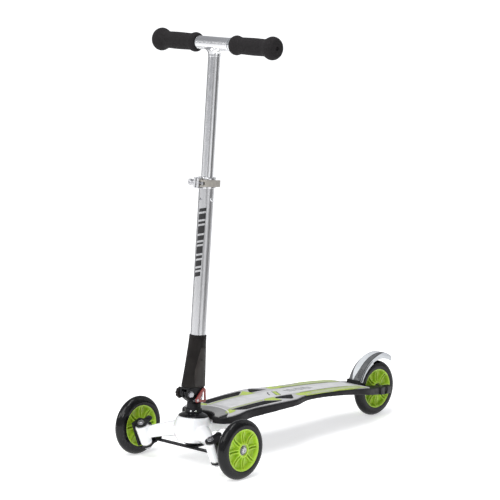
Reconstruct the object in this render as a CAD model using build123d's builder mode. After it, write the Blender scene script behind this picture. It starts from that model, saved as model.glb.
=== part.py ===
"""Folding three-wheel kick scooter: two steered wheels in front, one braked wheel behind.

Millimetres. The front points along -Y, +Z is up, +X is the rider's left side.
The origin lies on the floor under the middle of the machine.
"""
from build123d import *
from math import cos, radians, sin, tan
import os

os.makedirs("parts", exist_ok=True)

# ---- driving dimensions -------------------------------------------------------------------
WHEEL_R = 62.5          # all three wheels are 125 mm
TYRE_W = 24.0
RIM_R = 44.0            # outer edge of the hub, where the tyre starts
SPOKES = 8
WHEELBASE = 599.4
TRACK_HALF = 148.8      # from the middle plane to a front wheel
FRONT_Y = -WHEELBASE / 2
REAR_Y = WHEELBASE / 2
BEARING_R = 11.0        # 608 bearing: 22 x 8 x 7
BEARING_W = 7.0
BEARING_IN = 1.5        # inner face of each bearing, from the wheel's middle plane
AXLE_R = 4.0            # M8 axles, kingpins and hinge pins
FIT = 0.05              # radial running clearance
GAP = 0.3               # clearance between bodies that pass each other

RAKE = 5.1              # the steering column leans back
HEAD_Y = -287.45        # where the steering axis crosses the height of the wheel axles
TUBE_R, TUBE_IN_R = 15.9, 14.3
POST_R, POST_IN_R = 12.7, 11.2
BAR_R = 14.0
BAR_H = 815.6           # handlebar centre, along the column from the head point
COLLAR_H = 530.0
PIVOT_U, PIVOT_H = 4.1, 83.2        # fold hinge pin, in the column's own side plane
STOP_U, STOP_H = -24.7, 91.2        # cross bolt that rests in the hook of the lower hinge
LEVER_U, LEVER_H = -7.5, 78.1       # shaft of the red lever

KING_X, KING_Y, KING_Z = 101.0, -327.5, 55.5
KING_LEAN = 20.0        # the kingpins lean forward
ARM = 23.3              # steering arms, equal to the arm under the column

DECK_TOP = [(-268, 104), (-200, 108), (-110, 109), (0, 105), (100, 97.6), (200, 86.3), (270, 75), (336, 66)]
DECK_UNDER = [(-268, 92), (-160, 91.8), (-60, 95), (40, 93), (120, 85.5), (200, 72.5), (260, 60), (336, 48)]
DECK_EDGE = [(62, -254), (74.5, -224), (68.5, -188), (70.5, -130), (75.5, -68), (73.5, -34),
             (63, -4), (58.5, 28), (59.5, 100), (60, 186), (51, 244), (33, 296), (25, 333)]
SLOT_HALF = 14.0        # the gap between the rear fork arms
SLOT_Y = 229.0
NUT_SEAT = 22.0         # depth of the axle nut's seat, from the middle plane
PAD_T = 2.0
PAD_INSET, PAD_REAR = 5.5, 226.0

FENDER_Y, FENDER_Z, FENDER_R = 303.0, 62.5, 82.0
FENDER_HALF = 17.5

s, c = sin(radians(RAKE)), cos(radians(RAKE))
HEAD = Vector(0, HEAD_Y, WHEEL_R)
SIDE = Plane(origin=HEAD, x_dir=(0, c, -s), z_dir=(1, 0, 0))      # (back, up the column)


def column(h):
    """Plane square to the steering axis, h millimetres up the column."""
    return Plane(origin=HEAD + Vector(0, s, c) * h, x_dir=(1, 0, 0), z_dir=(0, s, c))


def side(x):
    """The column's side plane, moved to x."""
    return Plane(origin=HEAD + Vector(x, 0, 0), x_dir=(0, c, -s), z_dir=(1, 0, 0))


def kingpin(sign, h=0.0):
    """Plane square to one kingpin; its local Y points back along the steering arm."""
    lean_s, lean_c = sin(radians(KING_LEAN)), cos(radians(KING_LEAN))
    start = Vector(sign * KING_X, KING_Y, KING_Z) + Vector(0, -lean_s, lean_c) * h
    return Plane(origin=start, x_dir=(1, 0, 0), z_dir=(0, -lean_s, lean_c))


def across(x, y, z):
    """Plane square to X, for wheels, axles and pins that lie across the scooter."""
    return Plane(origin=(x, y, z), x_dir=(0, 1, 0), z_dir=(1, 0, 0))


def save(part, name):
    part.label = name
    export_step(part, f"parts/{name}.step")


def rod(plane, radius, length, bore=0.0):
    """Round bar or sleeve standing on a plane."""
    with BuildPart() as bar:
        with BuildSketch(plane):
            Circle(radius)
            if bore:
                Circle(bore, mode=Mode.SUBTRACT)
        extrude(amount=length)
    return bar.part


# ---- wheels --------------------------------------------------------------------------------
def make_wheel(name, x, y):
    """Tyre, spoked hub and pair of bearings of one wheel."""
    half = TYRE_W / 2
    middle = Plane(origin=(x, y, WHEEL_R), x_dir=(1, 0, 0), z_dir=(0, -1, 0))
    turn = Axis((x, y, WHEEL_R), (1, 0, 0))
    with BuildPart() as tyre:
        with BuildSketch(middle):
            with BuildLine():
                Polyline((-half + 0.6, RIM_R), (-half, RIM_R + 3), (-half, WHEEL_R - 12))
                ThreePointArc((-half, WHEEL_R - 12), (0, WHEEL_R), (half, WHEEL_R - 12))
                Polyline((half, WHEEL_R - 12), (half, RIM_R + 3), (half - 0.6, RIM_R), (-half + 0.6, RIM_R))
            make_face()
        revolve(axis=turn)
    save(tyre.part, f"{name}_tyre")

    boss_r, boss_half, rim_half = 15.0, 11.5, 11.2
    with BuildPart() as hub:
        with BuildSketch(across(x - rim_half, y, WHEEL_R)):
            Circle(RIM_R)
            Circle(RIM_R - 3.5, mode=Mode.SUBTRACT)
        extrude(amount=2 * rim_half)
        with BuildSketch(across(x - boss_half, y, WHEEL_R)):
            Circle(boss_r)
        extrude(amount=2 * boss_half)
        with BuildSketch(across(x - 1.5, y, WHEEL_R)):
            Circle(RIM_R - 2)
            Circle(boss_r - 1, mode=Mode.SUBTRACT)
        extrude(amount=3)
        with BuildSketch(across(x - 9, y, WHEEL_R)):
            for turn_by in range(SPOKES):
                with Locations(Rotation(0, 0, turn_by * 360 / SPOKES)):
                    with Locations((28, 3.1), (28, -3.1)):
                        Rectangle(30, 2.2)
        extrude(amount=18)
        with BuildSketch(across(x - boss_half - 1, y, WHEEL_R)):
            Circle(9.0)
        extrude(amount=2 * boss_half + 2, mode=Mode.SUBTRACT)
        for plane in (across(x + BEARING_IN, y, WHEEL_R), across(x - boss_half - 1, y, WHEEL_R)):
            with BuildSketch(plane):
                Circle(BEARING_R)
            extrude(amount=boss_half + 1 - BEARING_IN, mode=Mode.SUBTRACT)
    save(hub.part, f"{name}_hub")

    with BuildPart() as bearings:
        for start in (x + BEARING_IN, x - BEARING_IN - BEARING_W):
            add(rod(across(start, y, WHEEL_R), BEARING_R, BEARING_W, AXLE_R + FIT))
    save(bearings.part, f"{name}_bearings")


WHEELS = {"left_front": (TRACK_HALF, FRONT_Y), "right_front": (-TRACK_HALF, FRONT_Y), "rear": (0, REAR_Y)}
for wheel_name, (wheel_x, wheel_y) in WHEELS.items():
    make_wheel(wheel_name, wheel_x, wheel_y)
BEARING_OUT = BEARING_IN + BEARING_W


# ---- deck ----------------------------------------------------------------------------------
def deck_height(y):
    """Height of the deck's top line at y, straight between its points."""
    for (y0, z0), (y1, z1) in zip(DECK_TOP, DECK_TOP[1:]):
        if y <= y1:
            return z0 + (z1 - z0) * (y - y0) / (y1 - y0)
    return DECK_TOP[-1][1]


def deck_plan(inset=0.0):
    """Outline of the deck seen from above."""
    edge = [(x - inset, y) for x, y in DECK_EDGE]
    front_y = edge[0][1] - 10 + inset
    with BuildSketch() as plan:
        with BuildLine():
            front = Line((0, front_y), (40, front_y))
            corner = TangentArc(front @ 1, edge[0], tangent=(1, 0))
            flank = Spline(*edge, tangents=(corner % 1, (-0.35, 1)))
            Polyline(flank @ 1, (0, edge[-1][1]), (0, front_y))
        make_face()
        mirror(about=Plane.YZ)
    return plan.sketch


def deck_band(low, high):
    """Solid between two side curves, wider than the deck."""
    with BuildPart() as band:
        with BuildSketch(Plane(origin=(-90, 0, 0), x_dir=(0, 1, 0), z_dir=(1, 0, 0))):
            with BuildLine():
                upper = Spline(*high)
                lower = Spline(*low)
                Line(upper @ 0, lower @ 0)
                Line(upper @ 1, lower @ 1)
            make_face()
        extrude(amount=180)
    return band.part


def raised(line, by):
    return [(y, z + by) for y, z in line]


DOME_Y = HEAD_Y + 4.0
NOSE_R = 41.0           # the deck's nose wraps round the dome of the front beam

with BuildPart() as deck_shell:
    with BuildSketch(Plane.XY.offset(40)):
        add(deck_plan())
    extrude(amount=80)
    add(deck_band(DECK_UNDER, DECK_TOP), mode=Mode.INTERSECT)
    with BuildSketch(Plane.XY.offset(40)):
        with Locations((0, DOME_Y)):
            Circle(NOSE_R)
        with Locations((0, SLOT_Y + 60)):
            Rectangle(2 * SLOT_HALF, 120)
    extrude(amount=90, mode=Mode.SUBTRACT)
    for rows, xs, width in (((-170, -122, -74), (-50, -17, 17, 50), 28),
                            ((38, 86, 134, 182), (-35, 0, 35), 30)):
        for row in rows:
            roof = min(deck_height(row - 21), deck_height(row + 21)) - 4.5
            with BuildSketch(Plane.XY.offset(40)):
                with Locations(*[(x, row) for x in xs]):
                    RectangleRounded(width, 42, 4)
            extrude(amount=roof - 40, mode=Mode.SUBTRACT)
    with BuildSketch(Plane(origin=(0, REAR_Y, WHEEL_R), x_dir=(1, 0, 0), z_dir=(0, -1, 0))):
        for sign in (-1, 1):
            with BuildLine():
                Polyline((sign * 9, 0), (sign * 9, AXLE_R), (sign * NUT_SEAT, AXLE_R), (sign * NUT_SEAT, 8.5),
                         (sign * 60, 8.5), (sign * 60, 0), close=True)
            make_face()
    revolve(axis=Axis((0, REAR_Y, WHEEL_R), (1, 0, 0)), mode=Mode.SUBTRACT)
    with BuildSketch(across(-40, 231.5, 77)):
        Circle(2.5)
    extrude(amount=80, mode=Mode.SUBTRACT)
    with BuildSketch(Plane.XY.offset(40)):
        with Locations((0, SLOT_Y + 3)):
            Rectangle(2 * FENDER_HALF + 4, 22)
    extrude(amount=80, mode=Mode.SUBTRACT)
    for x_sign in (-1, 1):
        for y_screw in (-232, -205):
            with BuildSketch(Plane.XY.offset(60)):
                with Locations((x_sign * 20, y_screw)):
                    Circle(3)
            extrude(amount=42, mode=Mode.SUBTRACT)
save(deck_shell.part, "deck_shell")


# grip pad, nose panel and the dark inserts set into the pad
def leaf(points):
    """Closed outline through a few corners."""
    with BuildSketch() as outline:
        with BuildLine():
            Polyline(*points, close=True)
        make_face()
    return outline.sketch


INSERTS = {
    "left_front": [(34, -208), (50, -197), (60, -185), (60.5, -140), (63, -78), (58, -74), (36, -105)],
    "left_rear": [(36, -72), (63, -48), (62, -40), (31, -12), (28, -26), (28, -60)],
    "right_front": [(-36, -202), (-48, -205), (-59, -192), (-60.5, -140), (-62, -79), (-58, -76), (-36, -107)],
    "right_rear": [(-36, -73), (-65, -49), (-63, -40), (-37, -16)],
}
pad_band = deck_band(DECK_TOP, raised(DECK_TOP, PAD_T))
insert_band = deck_band(DECK_TOP, raised(DECK_TOP, PAD_T - 0.7))

with BuildPart() as grip_pad:
    with BuildSketch(Plane.XY.offset(40)):
        add(deck_plan(PAD_INSET))
        with Locations((0, PAD_REAR)):
            Rectangle(200, 600, align=(Align.CENTER, Align.MAX), mode=Mode.INTERSECT)
        for outline in INSERTS.values():
            add(leaf(outline), mode=Mode.SUBTRACT)
        with Locations((0, DOME_Y)):
            Circle(72, mode=Mode.SUBTRACT)
    extrude(amount=90)
    add(pad_band, mode=Mode.INTERSECT)
save(grip_pad.part, "grip_pad")

with BuildPart() as nose_panel:
    with BuildSketch(Plane.XY.offset(40)):
        with Locations((0, DOME_Y)):
            Circle(70.5)
            Circle(NOSE_R + 4, mode=Mode.SUBTRACT)
        with Locations((0, DOME_Y - 60)):
            Rectangle(200, 170, mode=Mode.SUBTRACT)
        with Locations((0, DOME_Y + 50)):
            Rectangle(100, 100, mode=Mode.INTERSECT)
    extrude(amount=90)
    add(pad_band, mode=Mode.INTERSECT)
save(nose_panel.part, "nose_panel")

with BuildPart() as grip_inserts:
    with BuildSketch(Plane.XY.offset(40)):
        for outline in INSERTS.values():
            add(leaf(outline))
    extrude(amount=90)
    add(insert_band, mode=Mode.INTERSECT)
save(grip_inserts.part, "grip_inserts")


# ---- front beam ----------------------------------------------------------------------------
BARREL_HALF = 21.5
BUSH_R, BUSH_FLANGE_R, BUSH_FLANGE = 7.0, 10.5, 1.2
HEAD_LOW, HEAD_HIGH = -11.5, 42.5
HEADSET_R, HEADSET_W = 18.5, 7.0
STEERER_R = 12.7
BEAM_RINGS = [(22, -288, 74.5, 23, 21.5), (52, -297, 71, 16.5, 17), (78, -313, 65.5, 12.5, 14.5),
              (101, -327.5, 58, 11, 13)]

with BuildPart() as front_beam:
    for sign in (-1, 1):
        with BuildPart(mode=Mode.PRIVATE) as arm:
            for x, y, z, half_y, half_z in BEAM_RINGS:
                with BuildSketch(across(sign * x, y, z)):
                    Ellipse(half_y, half_z)
            loft()
        add(arm.part)
        with BuildSketch(kingpin(sign, -BARREL_HALF)):
            Circle(12)
        with BuildSketch(kingpin(sign, BARREL_HALF)):
            Circle(14.5)
        loft()
    with BuildSketch(SIDE):
        with BuildLine():
            dome = Spline((27, HEAD_LOW), (38, 3), (39.5, 18), (37, 32), (31.5, HEAD_HIGH))
            Polyline(dome @ 1, (0, HEAD_HIGH), (0, HEAD_LOW), dome @ 0)
        make_face()
    revolve(axis=Axis(HEAD, (0, s, c)))
    with BuildSketch(Plane.XY.offset(70)):
        with Locations((0, DOME_Y + 56)):
            RectangleRounded(64, 90, 10)
    extrude(amount=21)
    with BuildSketch(column(HEAD_LOW - 1)):
        Circle(STEERER_R + 1.5)
    extrude(amount=HEAD_HIGH - HEAD_LOW + 2, mode=Mode.SUBTRACT)
    for start in (HEAD_LOW - 1, HEAD_HIGH - HEADSET_W):
        with BuildSketch(column(start)):
            Circle(HEADSET_R)
        extrude(amount=HEADSET_W + 1, mode=Mode.SUBTRACT)
    for sign in (-1, 1):
        with BuildSketch(kingpin(sign, -BARREL_HALF - 6)):
            Circle(BUSH_R)
        extrude(amount=2 * BARREL_HALF + 12, mode=Mode.SUBTRACT)
        for start, depth in ((BARREL_HALF, 12), (-BARREL_HALF, -12)):
            with BuildSketch(kingpin(sign, start)):
                Circle(24)
            extrude(amount=depth, mode=Mode.SUBTRACT)
    for x_sign in (-1, 1):
        for y_screw in (-232, -205):
            with BuildSketch(Plane.XY.offset(60)):
                with Locations((x_sign * 20, y_screw)):
                    Circle(3)
            extrude(amount=42, mode=Mode.SUBTRACT)
    add(deck_shell.part, mode=Mode.SUBTRACT)
save(front_beam.part, "front_beam")

with BuildPart() as deck_screws:
    for x_sign in (-1, 1):
        for y_screw in (-232, -205):
            with BuildSketch(Plane.XY.offset(66)):
                with Locations((x_sign * 20, y_screw)):
                    Circle(5)
            extrude(amount=4)
            with BuildSketch(Plane.XY.offset(70)):
                with Locations((x_sign * 20, y_screw)):
                    Circle(3)
            extrude(amount=30)
save(deck_screws.part, "deck_screws")

with BuildPart() as headset_bearings:
    for start in (HEAD_LOW, HEAD_HIGH - HEADSET_W):
        add(rod(column(start), HEADSET_R, HEADSET_W, STEERER_R + FIT))
save(headset_bearings.part, "headset_bearings")

with BuildPart() as kingpin_bushes:
    for sign in (-1, 1):
        for start, way in ((BARREL_HALF, 1), (-BARREL_HALF, -1)):
            add(rod(kingpin(sign, start), BUSH_FLANGE_R, way * BUSH_FLANGE, AXLE_R + FIT))
            add(rod(kingpin(sign, start), BUSH_R, -way * 12, AXLE_R + FIT))
save(kingpin_bushes.part, "kingpin_bushes")


# ---- front knuckles, kingpins, stub axles and tie rod ---------------------------------------
PLATE_T = 4.5
PLATE_IN = BARREL_HALF + BUSH_FLANGE + GAP
WALL_IN, WALL_T = 16.0, 6.0
TIE_LIFT = 5.2          # tie rod above the middle of the lower arm


def stub_axis(sign, out):
    """Plane square to the stub axle, out millimetres from the kingpin towards the wheel."""
    return across(sign * (KING_X + out), FRONT_Y, WHEEL_R)


def make_knuckle(name, sign):
    """C-shaped steering knuckle with a steering arm above and below."""
    with BuildPart() as knuckle:
        for start in (PLATE_IN, -PLATE_IN - PLATE_T):
            with BuildSketch(kingpin(sign, start)):
                Circle(12)
                with BuildLine():
                    Polyline((-12, 0), (12, 0), (7.5, ARM), (-7.5, ARM), close=True)
                make_face()
                with Locations((0, ARM)):
                    Circle(7.5)
                with Locations((sign * 12, 6)):
                    Rectangle(20, 22)
            extrude(amount=PLATE_T)
        with BuildSketch(kingpin(sign, -PLATE_IN - PLATE_T)):
            with Locations((sign * (WALL_IN + WALL_T / 2), 4)):
                Rectangle(WALL_T, 24)
        extrude(amount=2 * (PLATE_IN + PLATE_T))
        wall = stub_axis(sign, WALL_IN if sign > 0 else WALL_IN + WALL_T)
        with BuildSketch(wall):
            Circle(12)
            with Locations((-14, 2)):
                Rectangle(24, 22)
        extrude(amount=WALL_T)
        boss_len = TRACK_HALF - BEARING_OUT - GAP - KING_X - WALL_IN - WALL_T
        with BuildSketch(stub_axis(sign, WALL_IN + WALL_T)):
            Circle(9)
        with BuildSketch(stub_axis(sign, WALL_IN + WALL_T + boss_len)):
            Circle(6)
        loft()
        with BuildSketch(kingpin(sign, -40)):
            Circle(AXLE_R)
            with Locations((0, ARM)):
                Circle(3)
        extrude(amount=80, mode=Mode.SUBTRACT)
        with BuildSketch(stub_axis(sign, 0)):
            Circle(AXLE_R)
        extrude(amount=sign * 60, mode=Mode.SUBTRACT)
    save(knuckle.part, f"{name}_knuckle")

    top, bottom = PLATE_IN + PLATE_T, -PLATE_IN - PLATE_T
    with BuildPart() as pin:
        with BuildSketch(kingpin(sign, bottom - 7)):
            Circle(AXLE_R)
        extrude(amount=top - bottom + 7)
        with BuildSketch(kingpin(sign, top)):
            RegularPolygon(7.2, 6)
        extrude(amount=5)
        add(rod(kingpin(sign, bottom), 7.2, -6, AXLE_R))
    save(pin.part, f"{name}_kingpin")

    with BuildPart() as axle:
        head = TRACK_HALF + BEARING_OUT + GAP - KING_X
        with BuildSketch(stub_axis(sign, WALL_IN - 7)):
            Circle(AXLE_R)
        extrude(amount=sign * (head - WALL_IN + 7))
        with BuildSketch(stub_axis(sign, head)):
            RegularPolygon(7, 6)
        extrude(amount=sign * 4.2)
        add(rod(stub_axis(sign, WALL_IN), 7, -sign * 6, AXLE_R))
    save(axle.part, f"{name}_stub_axle")

    with BuildPart() as tie_pin:
        arm_middle = -PLATE_IN - PLATE_T / 2
        for start, length in ((arm_middle - PLATE_T / 2 - 6, 17.5), (PLATE_IN - 2, PLATE_T + 5)):
            with BuildSketch(kingpin(sign, start)):
                with Locations((0, ARM)):
                    Circle(3)
            extrude(amount=length)
        for start, length in ((arm_middle + TIE_LIFT + 2.4, 3), (PLATE_IN + PLATE_T, 2.6)):
            with BuildSketch(kingpin(sign, start)):
                with Locations((0, ARM)):
                    RegularPolygon(5.2, 6)
            extrude(amount=length)
        with BuildSketch(kingpin(sign, -PLATE_IN - PLATE_T)):
            with Locations((0, ARM)):
                RegularPolygon(5.5, 6)
        extrude(amount=-4.5)
    save(tie_pin.part, f"{name}_tie_pin")


for side_name, side_sign in (("left", 1), ("right", -1)):
    make_knuckle(side_name, side_sign)

PEG_R = 3.5
lean_s, lean_c = sin(radians(KING_LEAN)), cos(radians(KING_LEAN))
TIE_H = -PLATE_IN - PLATE_T / 2 + TIE_LIFT
TIE_Y = KING_Y + ARM * lean_c - TIE_H * lean_s
TIE_T = 3.8
TIE_Z = KING_Z + ARM * lean_s + TIE_H * lean_c - 3.0       # the bar runs under its tilted end eyes
PEG_Y = HEAD_Y + ARM * c + (TIE_Z - WHEEL_R) * s
with BuildPart() as tie_rod:
    with BuildSketch(Plane.XY.offset(TIE_Z - TIE_T / 2)):
        with Locations((0, TIE_Y - 1)):
            Rectangle(2 * KING_X - 29, 11)
        with Locations((0, PEG_Y - 8)):
            RectangleRounded(30, 46, 7)
    extrude(amount=TIE_T)
    for sign in (-1, 1):
        with BuildSketch(kingpin(sign, TIE_H - 2)):
            with Locations((0, ARM)):
                Circle(8.5)
                with Locations((-sign * 9, 0)):
                    Rectangle(18, 12)
        extrude(amount=4)
    for sign in (-1, 1):
        with BuildSketch(kingpin(sign, TIE_H - 12)):
            with Locations((0, ARM)):
                Circle(3 + FIT)
        extrude(amount=24, mode=Mode.SUBTRACT)
    with BuildSketch(Plane.XY.offset(TIE_Z - 10)):
        with Locations((0, PEG_Y)):
            Circle(PEG_R + 0.7)
    extrude(amount=20, mode=Mode.SUBTRACT)
save(tie_rod.part, "tie_rod")


# ---- steerer, lower hinge half and the arm under the column ---------------------------------
ARM_H = HEAD_LOW - GAP - 0.2        # top face of the lower steering arm
ARM_T = 3.6
NECK_TOP = 70.5
TONGUE = 7.0
HOOK_SLOT = 2.6

with BuildPart() as steerer_tube:
    with BuildSketch(column(ARM_H)):
        Circle(STEERER_R)
        Circle(9.5, mode=Mode.SUBTRACT)
    extrude(amount=66 - ARM_H)
save(steerer_tube.part, "steerer_tube")

with BuildPart() as steering_arm:
    with BuildSketch(column(ARM_H)):
        Circle(16)
        with BuildLine():
            Polyline((-13, 4), (13, 4), (7.5, ARM), (-7.5, ARM), close=True)
        make_face()
        with Locations((0, ARM)):
            Circle(7.5)
    extrude(amount=-ARM_T)
    with BuildSketch(column(ARM_H)):
        Circle(9.5)
    extrude(amount=14)
    with BuildSketch(column(ARM_H - ARM_T)):
        Circle(3)
    extrude(amount=30, mode=Mode.SUBTRACT)
    with BuildSketch(column(ARM_H - ARM_T)):
        Circle(6)
    extrude(amount=2.2, mode=Mode.SUBTRACT)
    with BuildSketch(column(ARM_H - ARM_T)):
        with Locations((0, ARM)):
            Circle(PEG_R)
    extrude(amount=ARM_T, mode=Mode.SUBTRACT)
save(steering_arm.part, "steering_arm")

with BuildPart() as steering_arm_pins:
    with BuildSketch(column(ARM_H - ARM_T)):
        Circle(6)
    extrude(amount=2.2)
    with BuildSketch(column(ARM_H - ARM_T)):
        Circle(3)
    extrude(amount=17)
    with BuildSketch(column(ARM_H)):
        with Locations((0, ARM)):
            Circle(PEG_R)
    extrude(amount=-ARM_T - 7.5)
save(steering_arm_pins.part, "steering_arm_pins")

NECK_RING_R, NECK_RING_H = 17.6, 55.0
NECK_SCREWS_AT = (-30.0, -64.0)     # round the column, measured from the left side towards the back


def neck_face(turn_by):
    """Plane that touches the neck ring at one of its clamping screws and faces outward."""
    out = Vector(cos(radians(turn_by)), c * sin(radians(turn_by)), -s * sin(radians(turn_by)))
    return Plane(origin=HEAD + Vector(0, s, c) * NECK_RING_H + out * NECK_RING_R, z_dir=out)


with BuildPart() as lower_hinge:
    with BuildSketch(column(44.5)):
        Circle(14.6)
    extrude(amount=NECK_TOP - 44.5)
    with BuildSketch(column(NECK_RING_H - 3.8)):
        Circle(NECK_RING_R)
    extrude(amount=7.6)
    with BuildSketch(side(-TONGUE)):
        with BuildLine():
            Polyline((-14, NECK_TOP - 2), (14, NECK_TOP - 2), (13.5, 79), (11.5, 88), (6, 91.5), (-8, 94),
                     (-17, 96), (-31, 96), (-33, 92), (-31.5, 84), (-22, 77), (-14, 73), close=True)
        make_face()
    extrude(amount=2 * TONGUE)
    with BuildSketch(side(-HOOK_SLOT)):
        with Locations((STOP_U - 6, STOP_H)):
            Rectangle(24, 13)
    extrude(amount=2 * HOOK_SLOT, mode=Mode.SUBTRACT)
    with BuildSketch(side(-TONGUE - 1)):
        with Locations((STOP_U, STOP_H)):
            Circle(AXLE_R + GAP)
        with BuildLine():
            Polyline((STOP_U - 4.3, STOP_H), (STOP_U + 4.3, STOP_H), (STOP_U + 9, STOP_H + 9),
                     (STOP_U - 4.3, STOP_H + 9), close=True)
        make_face()
        with Locations((PIVOT_U, PIVOT_H)):
            Circle(AXLE_R)
        with Locations((LEVER_U, LEVER_H)):
            Circle(3 + FIT)
    extrude(amount=2 * TONGUE + 2, mode=Mode.SUBTRACT)
    with BuildSketch(column(40)):
        Circle(STEERER_R)
    extrude(amount=26, mode=Mode.SUBTRACT)
    for turn_by in NECK_SCREWS_AT:
        with BuildSketch(neck_face(turn_by)):
            Circle(2)
        extrude(amount=-(NECK_RING_R - STEERER_R + 0.5), mode=Mode.SUBTRACT)
save(lower_hinge.part, "lower_hinge")

with BuildPart() as neck_screws:
    for turn_by in NECK_SCREWS_AT:
        with BuildSketch(neck_face(turn_by)):
            Circle(3.2)
        extrude(amount=2.4)
        with BuildSketch(neck_face(turn_by)):
            Circle(2)
        extrude(amount=-(NECK_RING_R - STEERER_R - 0.1))
save(neck_screws.part, "neck_screws")

with BuildPart() as cone_cover:
    with BuildSketch(SIDE):
        with BuildLine():
            outer = Spline((31.3, 43.2), (28, 46.4), (22, 49.2), (17.2, 51.2))
            Polyline(outer @ 1, (14.65, 51.2), (14.65, 48.6), (20, 46.6), (26, 44.2), (27, 43.2), outer @ 0)
        make_face()
    revolve(axis=Axis(HEAD, (0, s, c)))
save(cone_cover.part, "cone_cover")


# ---- fold hinge, red lever and tension knob -------------------------------------------------
CHEEK_IN, CHEEK_OUT = TONGUE + GAP, 12.9
PLATE_LOW, PLATE_TOP = 101.0, 105.0
LEVER_X, LEVER_T = 14.8, 3.2
LUG_R = 7.5

with BuildPart() as upper_hinge:
    for start in (CHEEK_IN, -CHEEK_OUT):
        with BuildSketch(side(start)):
            with BuildLine():
                Polyline((STOP_U - LUG_R, PLATE_LOW + 1), (STOP_U - LUG_R, STOP_H), (STOP_U, STOP_H - 2),
                         (-14, 90), (-6, 89), (PIVOT_U - LUG_R, PIVOT_H), (PIVOT_U, PIVOT_H - 2),
                         (PIVOT_U + LUG_R, PIVOT_H), (PIVOT_U + LUG_R + 1, PLATE_LOW + 1), close=True)
            make_face()
            with Locations((STOP_U, STOP_H), (PIVOT_U, PIVOT_H)):
                Circle(LUG_R)
            with Locations((STOP_U, STOP_H), (PIVOT_U, PIVOT_H)):
                Circle(AXLE_R, mode=Mode.SUBTRACT)
        extrude(amount=CHEEK_OUT - CHEEK_IN)
    with BuildSketch(column(PLATE_LOW)):
        with Locations((0, -6.5)):
            RectangleRounded(2 * CHEEK_OUT, 51, 8)
    extrude(amount=PLATE_TOP - PLATE_LOW)
    with BuildSketch(column(PLATE_TOP)):
        Circle(TUBE_IN_R)
        Circle(9, mode=Mode.SUBTRACT)
    extrude(amount=42)
save(upper_hinge.part, "upper_hinge")

with BuildPart() as fold_pin:
    with BuildSketch(side(-CHEEK_OUT - 1.3)):
        with Locations((PIVOT_U, PIVOT_H)):
            Circle(AXLE_R - FIT)
    extrude(amount=2 * CHEEK_OUT + 2.6)
save(fold_pin.part, "fold_pin")

with BuildPart() as cross_bolt:
    with BuildSketch(side(CHEEK_OUT)):
        with Locations((STOP_U, STOP_H)):
            RegularPolygon(5.8, 6)
    extrude(amount=4.6)
    with BuildSketch(side(CHEEK_OUT)):
        with Locations((STOP_U, STOP_H)):
            Circle(AXLE_R)
    extrude(amount=-CHEEK_OUT - 23)
save(cross_bolt.part, "cross_bolt")

with BuildPart() as tension_knob:
    with BuildSketch(side(-CHEEK_OUT - GAP - 9)):
        with Locations((STOP_U, STOP_H)):
            Circle(10.4)
            with PolarLocations(10.6, 9):
                Circle(2.0)
            Circle(AXLE_R + FIT, mode=Mode.SUBTRACT)
    extrude(amount=9)
save(tension_knob.part, "tension_knob")

with BuildPart() as latch_shaft:
    with BuildSketch(side(-15.0)):
        with Locations((LEVER_U, LEVER_H)):
            Circle(3)
    extrude(amount=15.0 + LEVER_X + LEVER_T)
    for start in (CHEEK_IN, -CHEEK_OUT + 0.6):
        with BuildSketch(side(start)):
            with Locations(Location((LEVER_U, LEVER_H), 23.8)):
                Ellipse(4.7, 3.7)
        extrude(amount=CHEEK_OUT - CHEEK_IN - 0.6)
    with BuildSketch(side(-15.0)):
        with Locations((LEVER_U, LEVER_H)):
            Circle(4.6)
    extrude(amount=1.6)
save(latch_shaft.part, "latch_shaft")

with BuildPart() as red_lever:
    with BuildSketch(side(LEVER_X)):
        with BuildLine():
            Polyline((LEVER_U - 4.5, LEVER_H - 3), (14.5, 72.5), (17.5, 75.5), (14.5, 100), (10.5, 103.5),
                     (5.8, 101.5), (LEVER_U - 5, LEVER_H + 3), close=True)
        make_face()
        with BuildLine():
            Polyline((-0.4, 79.6), (13.4, 77.4), (11.2, 95.5), (8.6, 96.8), close=True)
        make_face(mode=Mode.SUBTRACT)
        with Locations((LEVER_U, LEVER_H)):
            Circle(5)
            Circle(3, mode=Mode.SUBTRACT)
    extrude(amount=LEVER_T)
save(red_lever.part, "red_lever")

# ---- lower tube, cover, collar clamp ---------------------------------------------------------
TUBE_LOW, TUBE_TOP = PLATE_TOP, 539.0
BUTTON_H = 496.0
with BuildPart() as lower_tube:
    with BuildSketch(column(TUBE_LOW)):
        Circle(TUBE_R)
        Circle(TUBE_IN_R, mode=Mode.SUBTRACT)
    extrude(amount=TUBE_TOP - TUBE_LOW)
    with BuildSketch(side(0)):
        with Locations((0, BUTTON_H)):
            Circle(3.6)
    extrude(amount=20, mode=Mode.SUBTRACT)
    with BuildSketch(Plane(origin=HEAD + Vector(0, s, c) * BUTTON_H, x_dir=(1, 0, 0), z_dir=(0, -c, s))):
        Circle(2)
    extrude(amount=20, mode=Mode.SUBTRACT)
    with BuildSketch(column(TUBE_TOP - 30)):
        with Locations((0, -15)):
            Rectangle(2.4, 8)
    extrude(amount=40, mode=Mode.SUBTRACT)
save(lower_tube.part, "lower_tube")

COVER_LOW, COVER_TOP = PLATE_TOP + GAP, 214.0


def cover_form(skin):
    """Tapered sleeve: a deep rounded box at the hinge, round at its top; skin insets it."""
    with BuildPart() as form:
        with BuildSketch(column(COVER_LOW)):
            with Locations((0, -5.6)):
                RectangleRounded(33.4 - 2 * skin, 53 - 2 * skin, 13 - skin)
        with BuildSketch(column((COVER_LOW + COVER_TOP) / 2)):
            with Locations((0, -2.2)):
                RectangleRounded(34.4 - 2 * skin, 43 - 2 * skin, 16 - skin)
        with BuildSketch(column(COVER_TOP)):
            RectangleRounded(36 - 2 * skin, 36 - 2 * skin, 17.9 - skin)
        loft(ruled=True)
    return form.part


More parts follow.
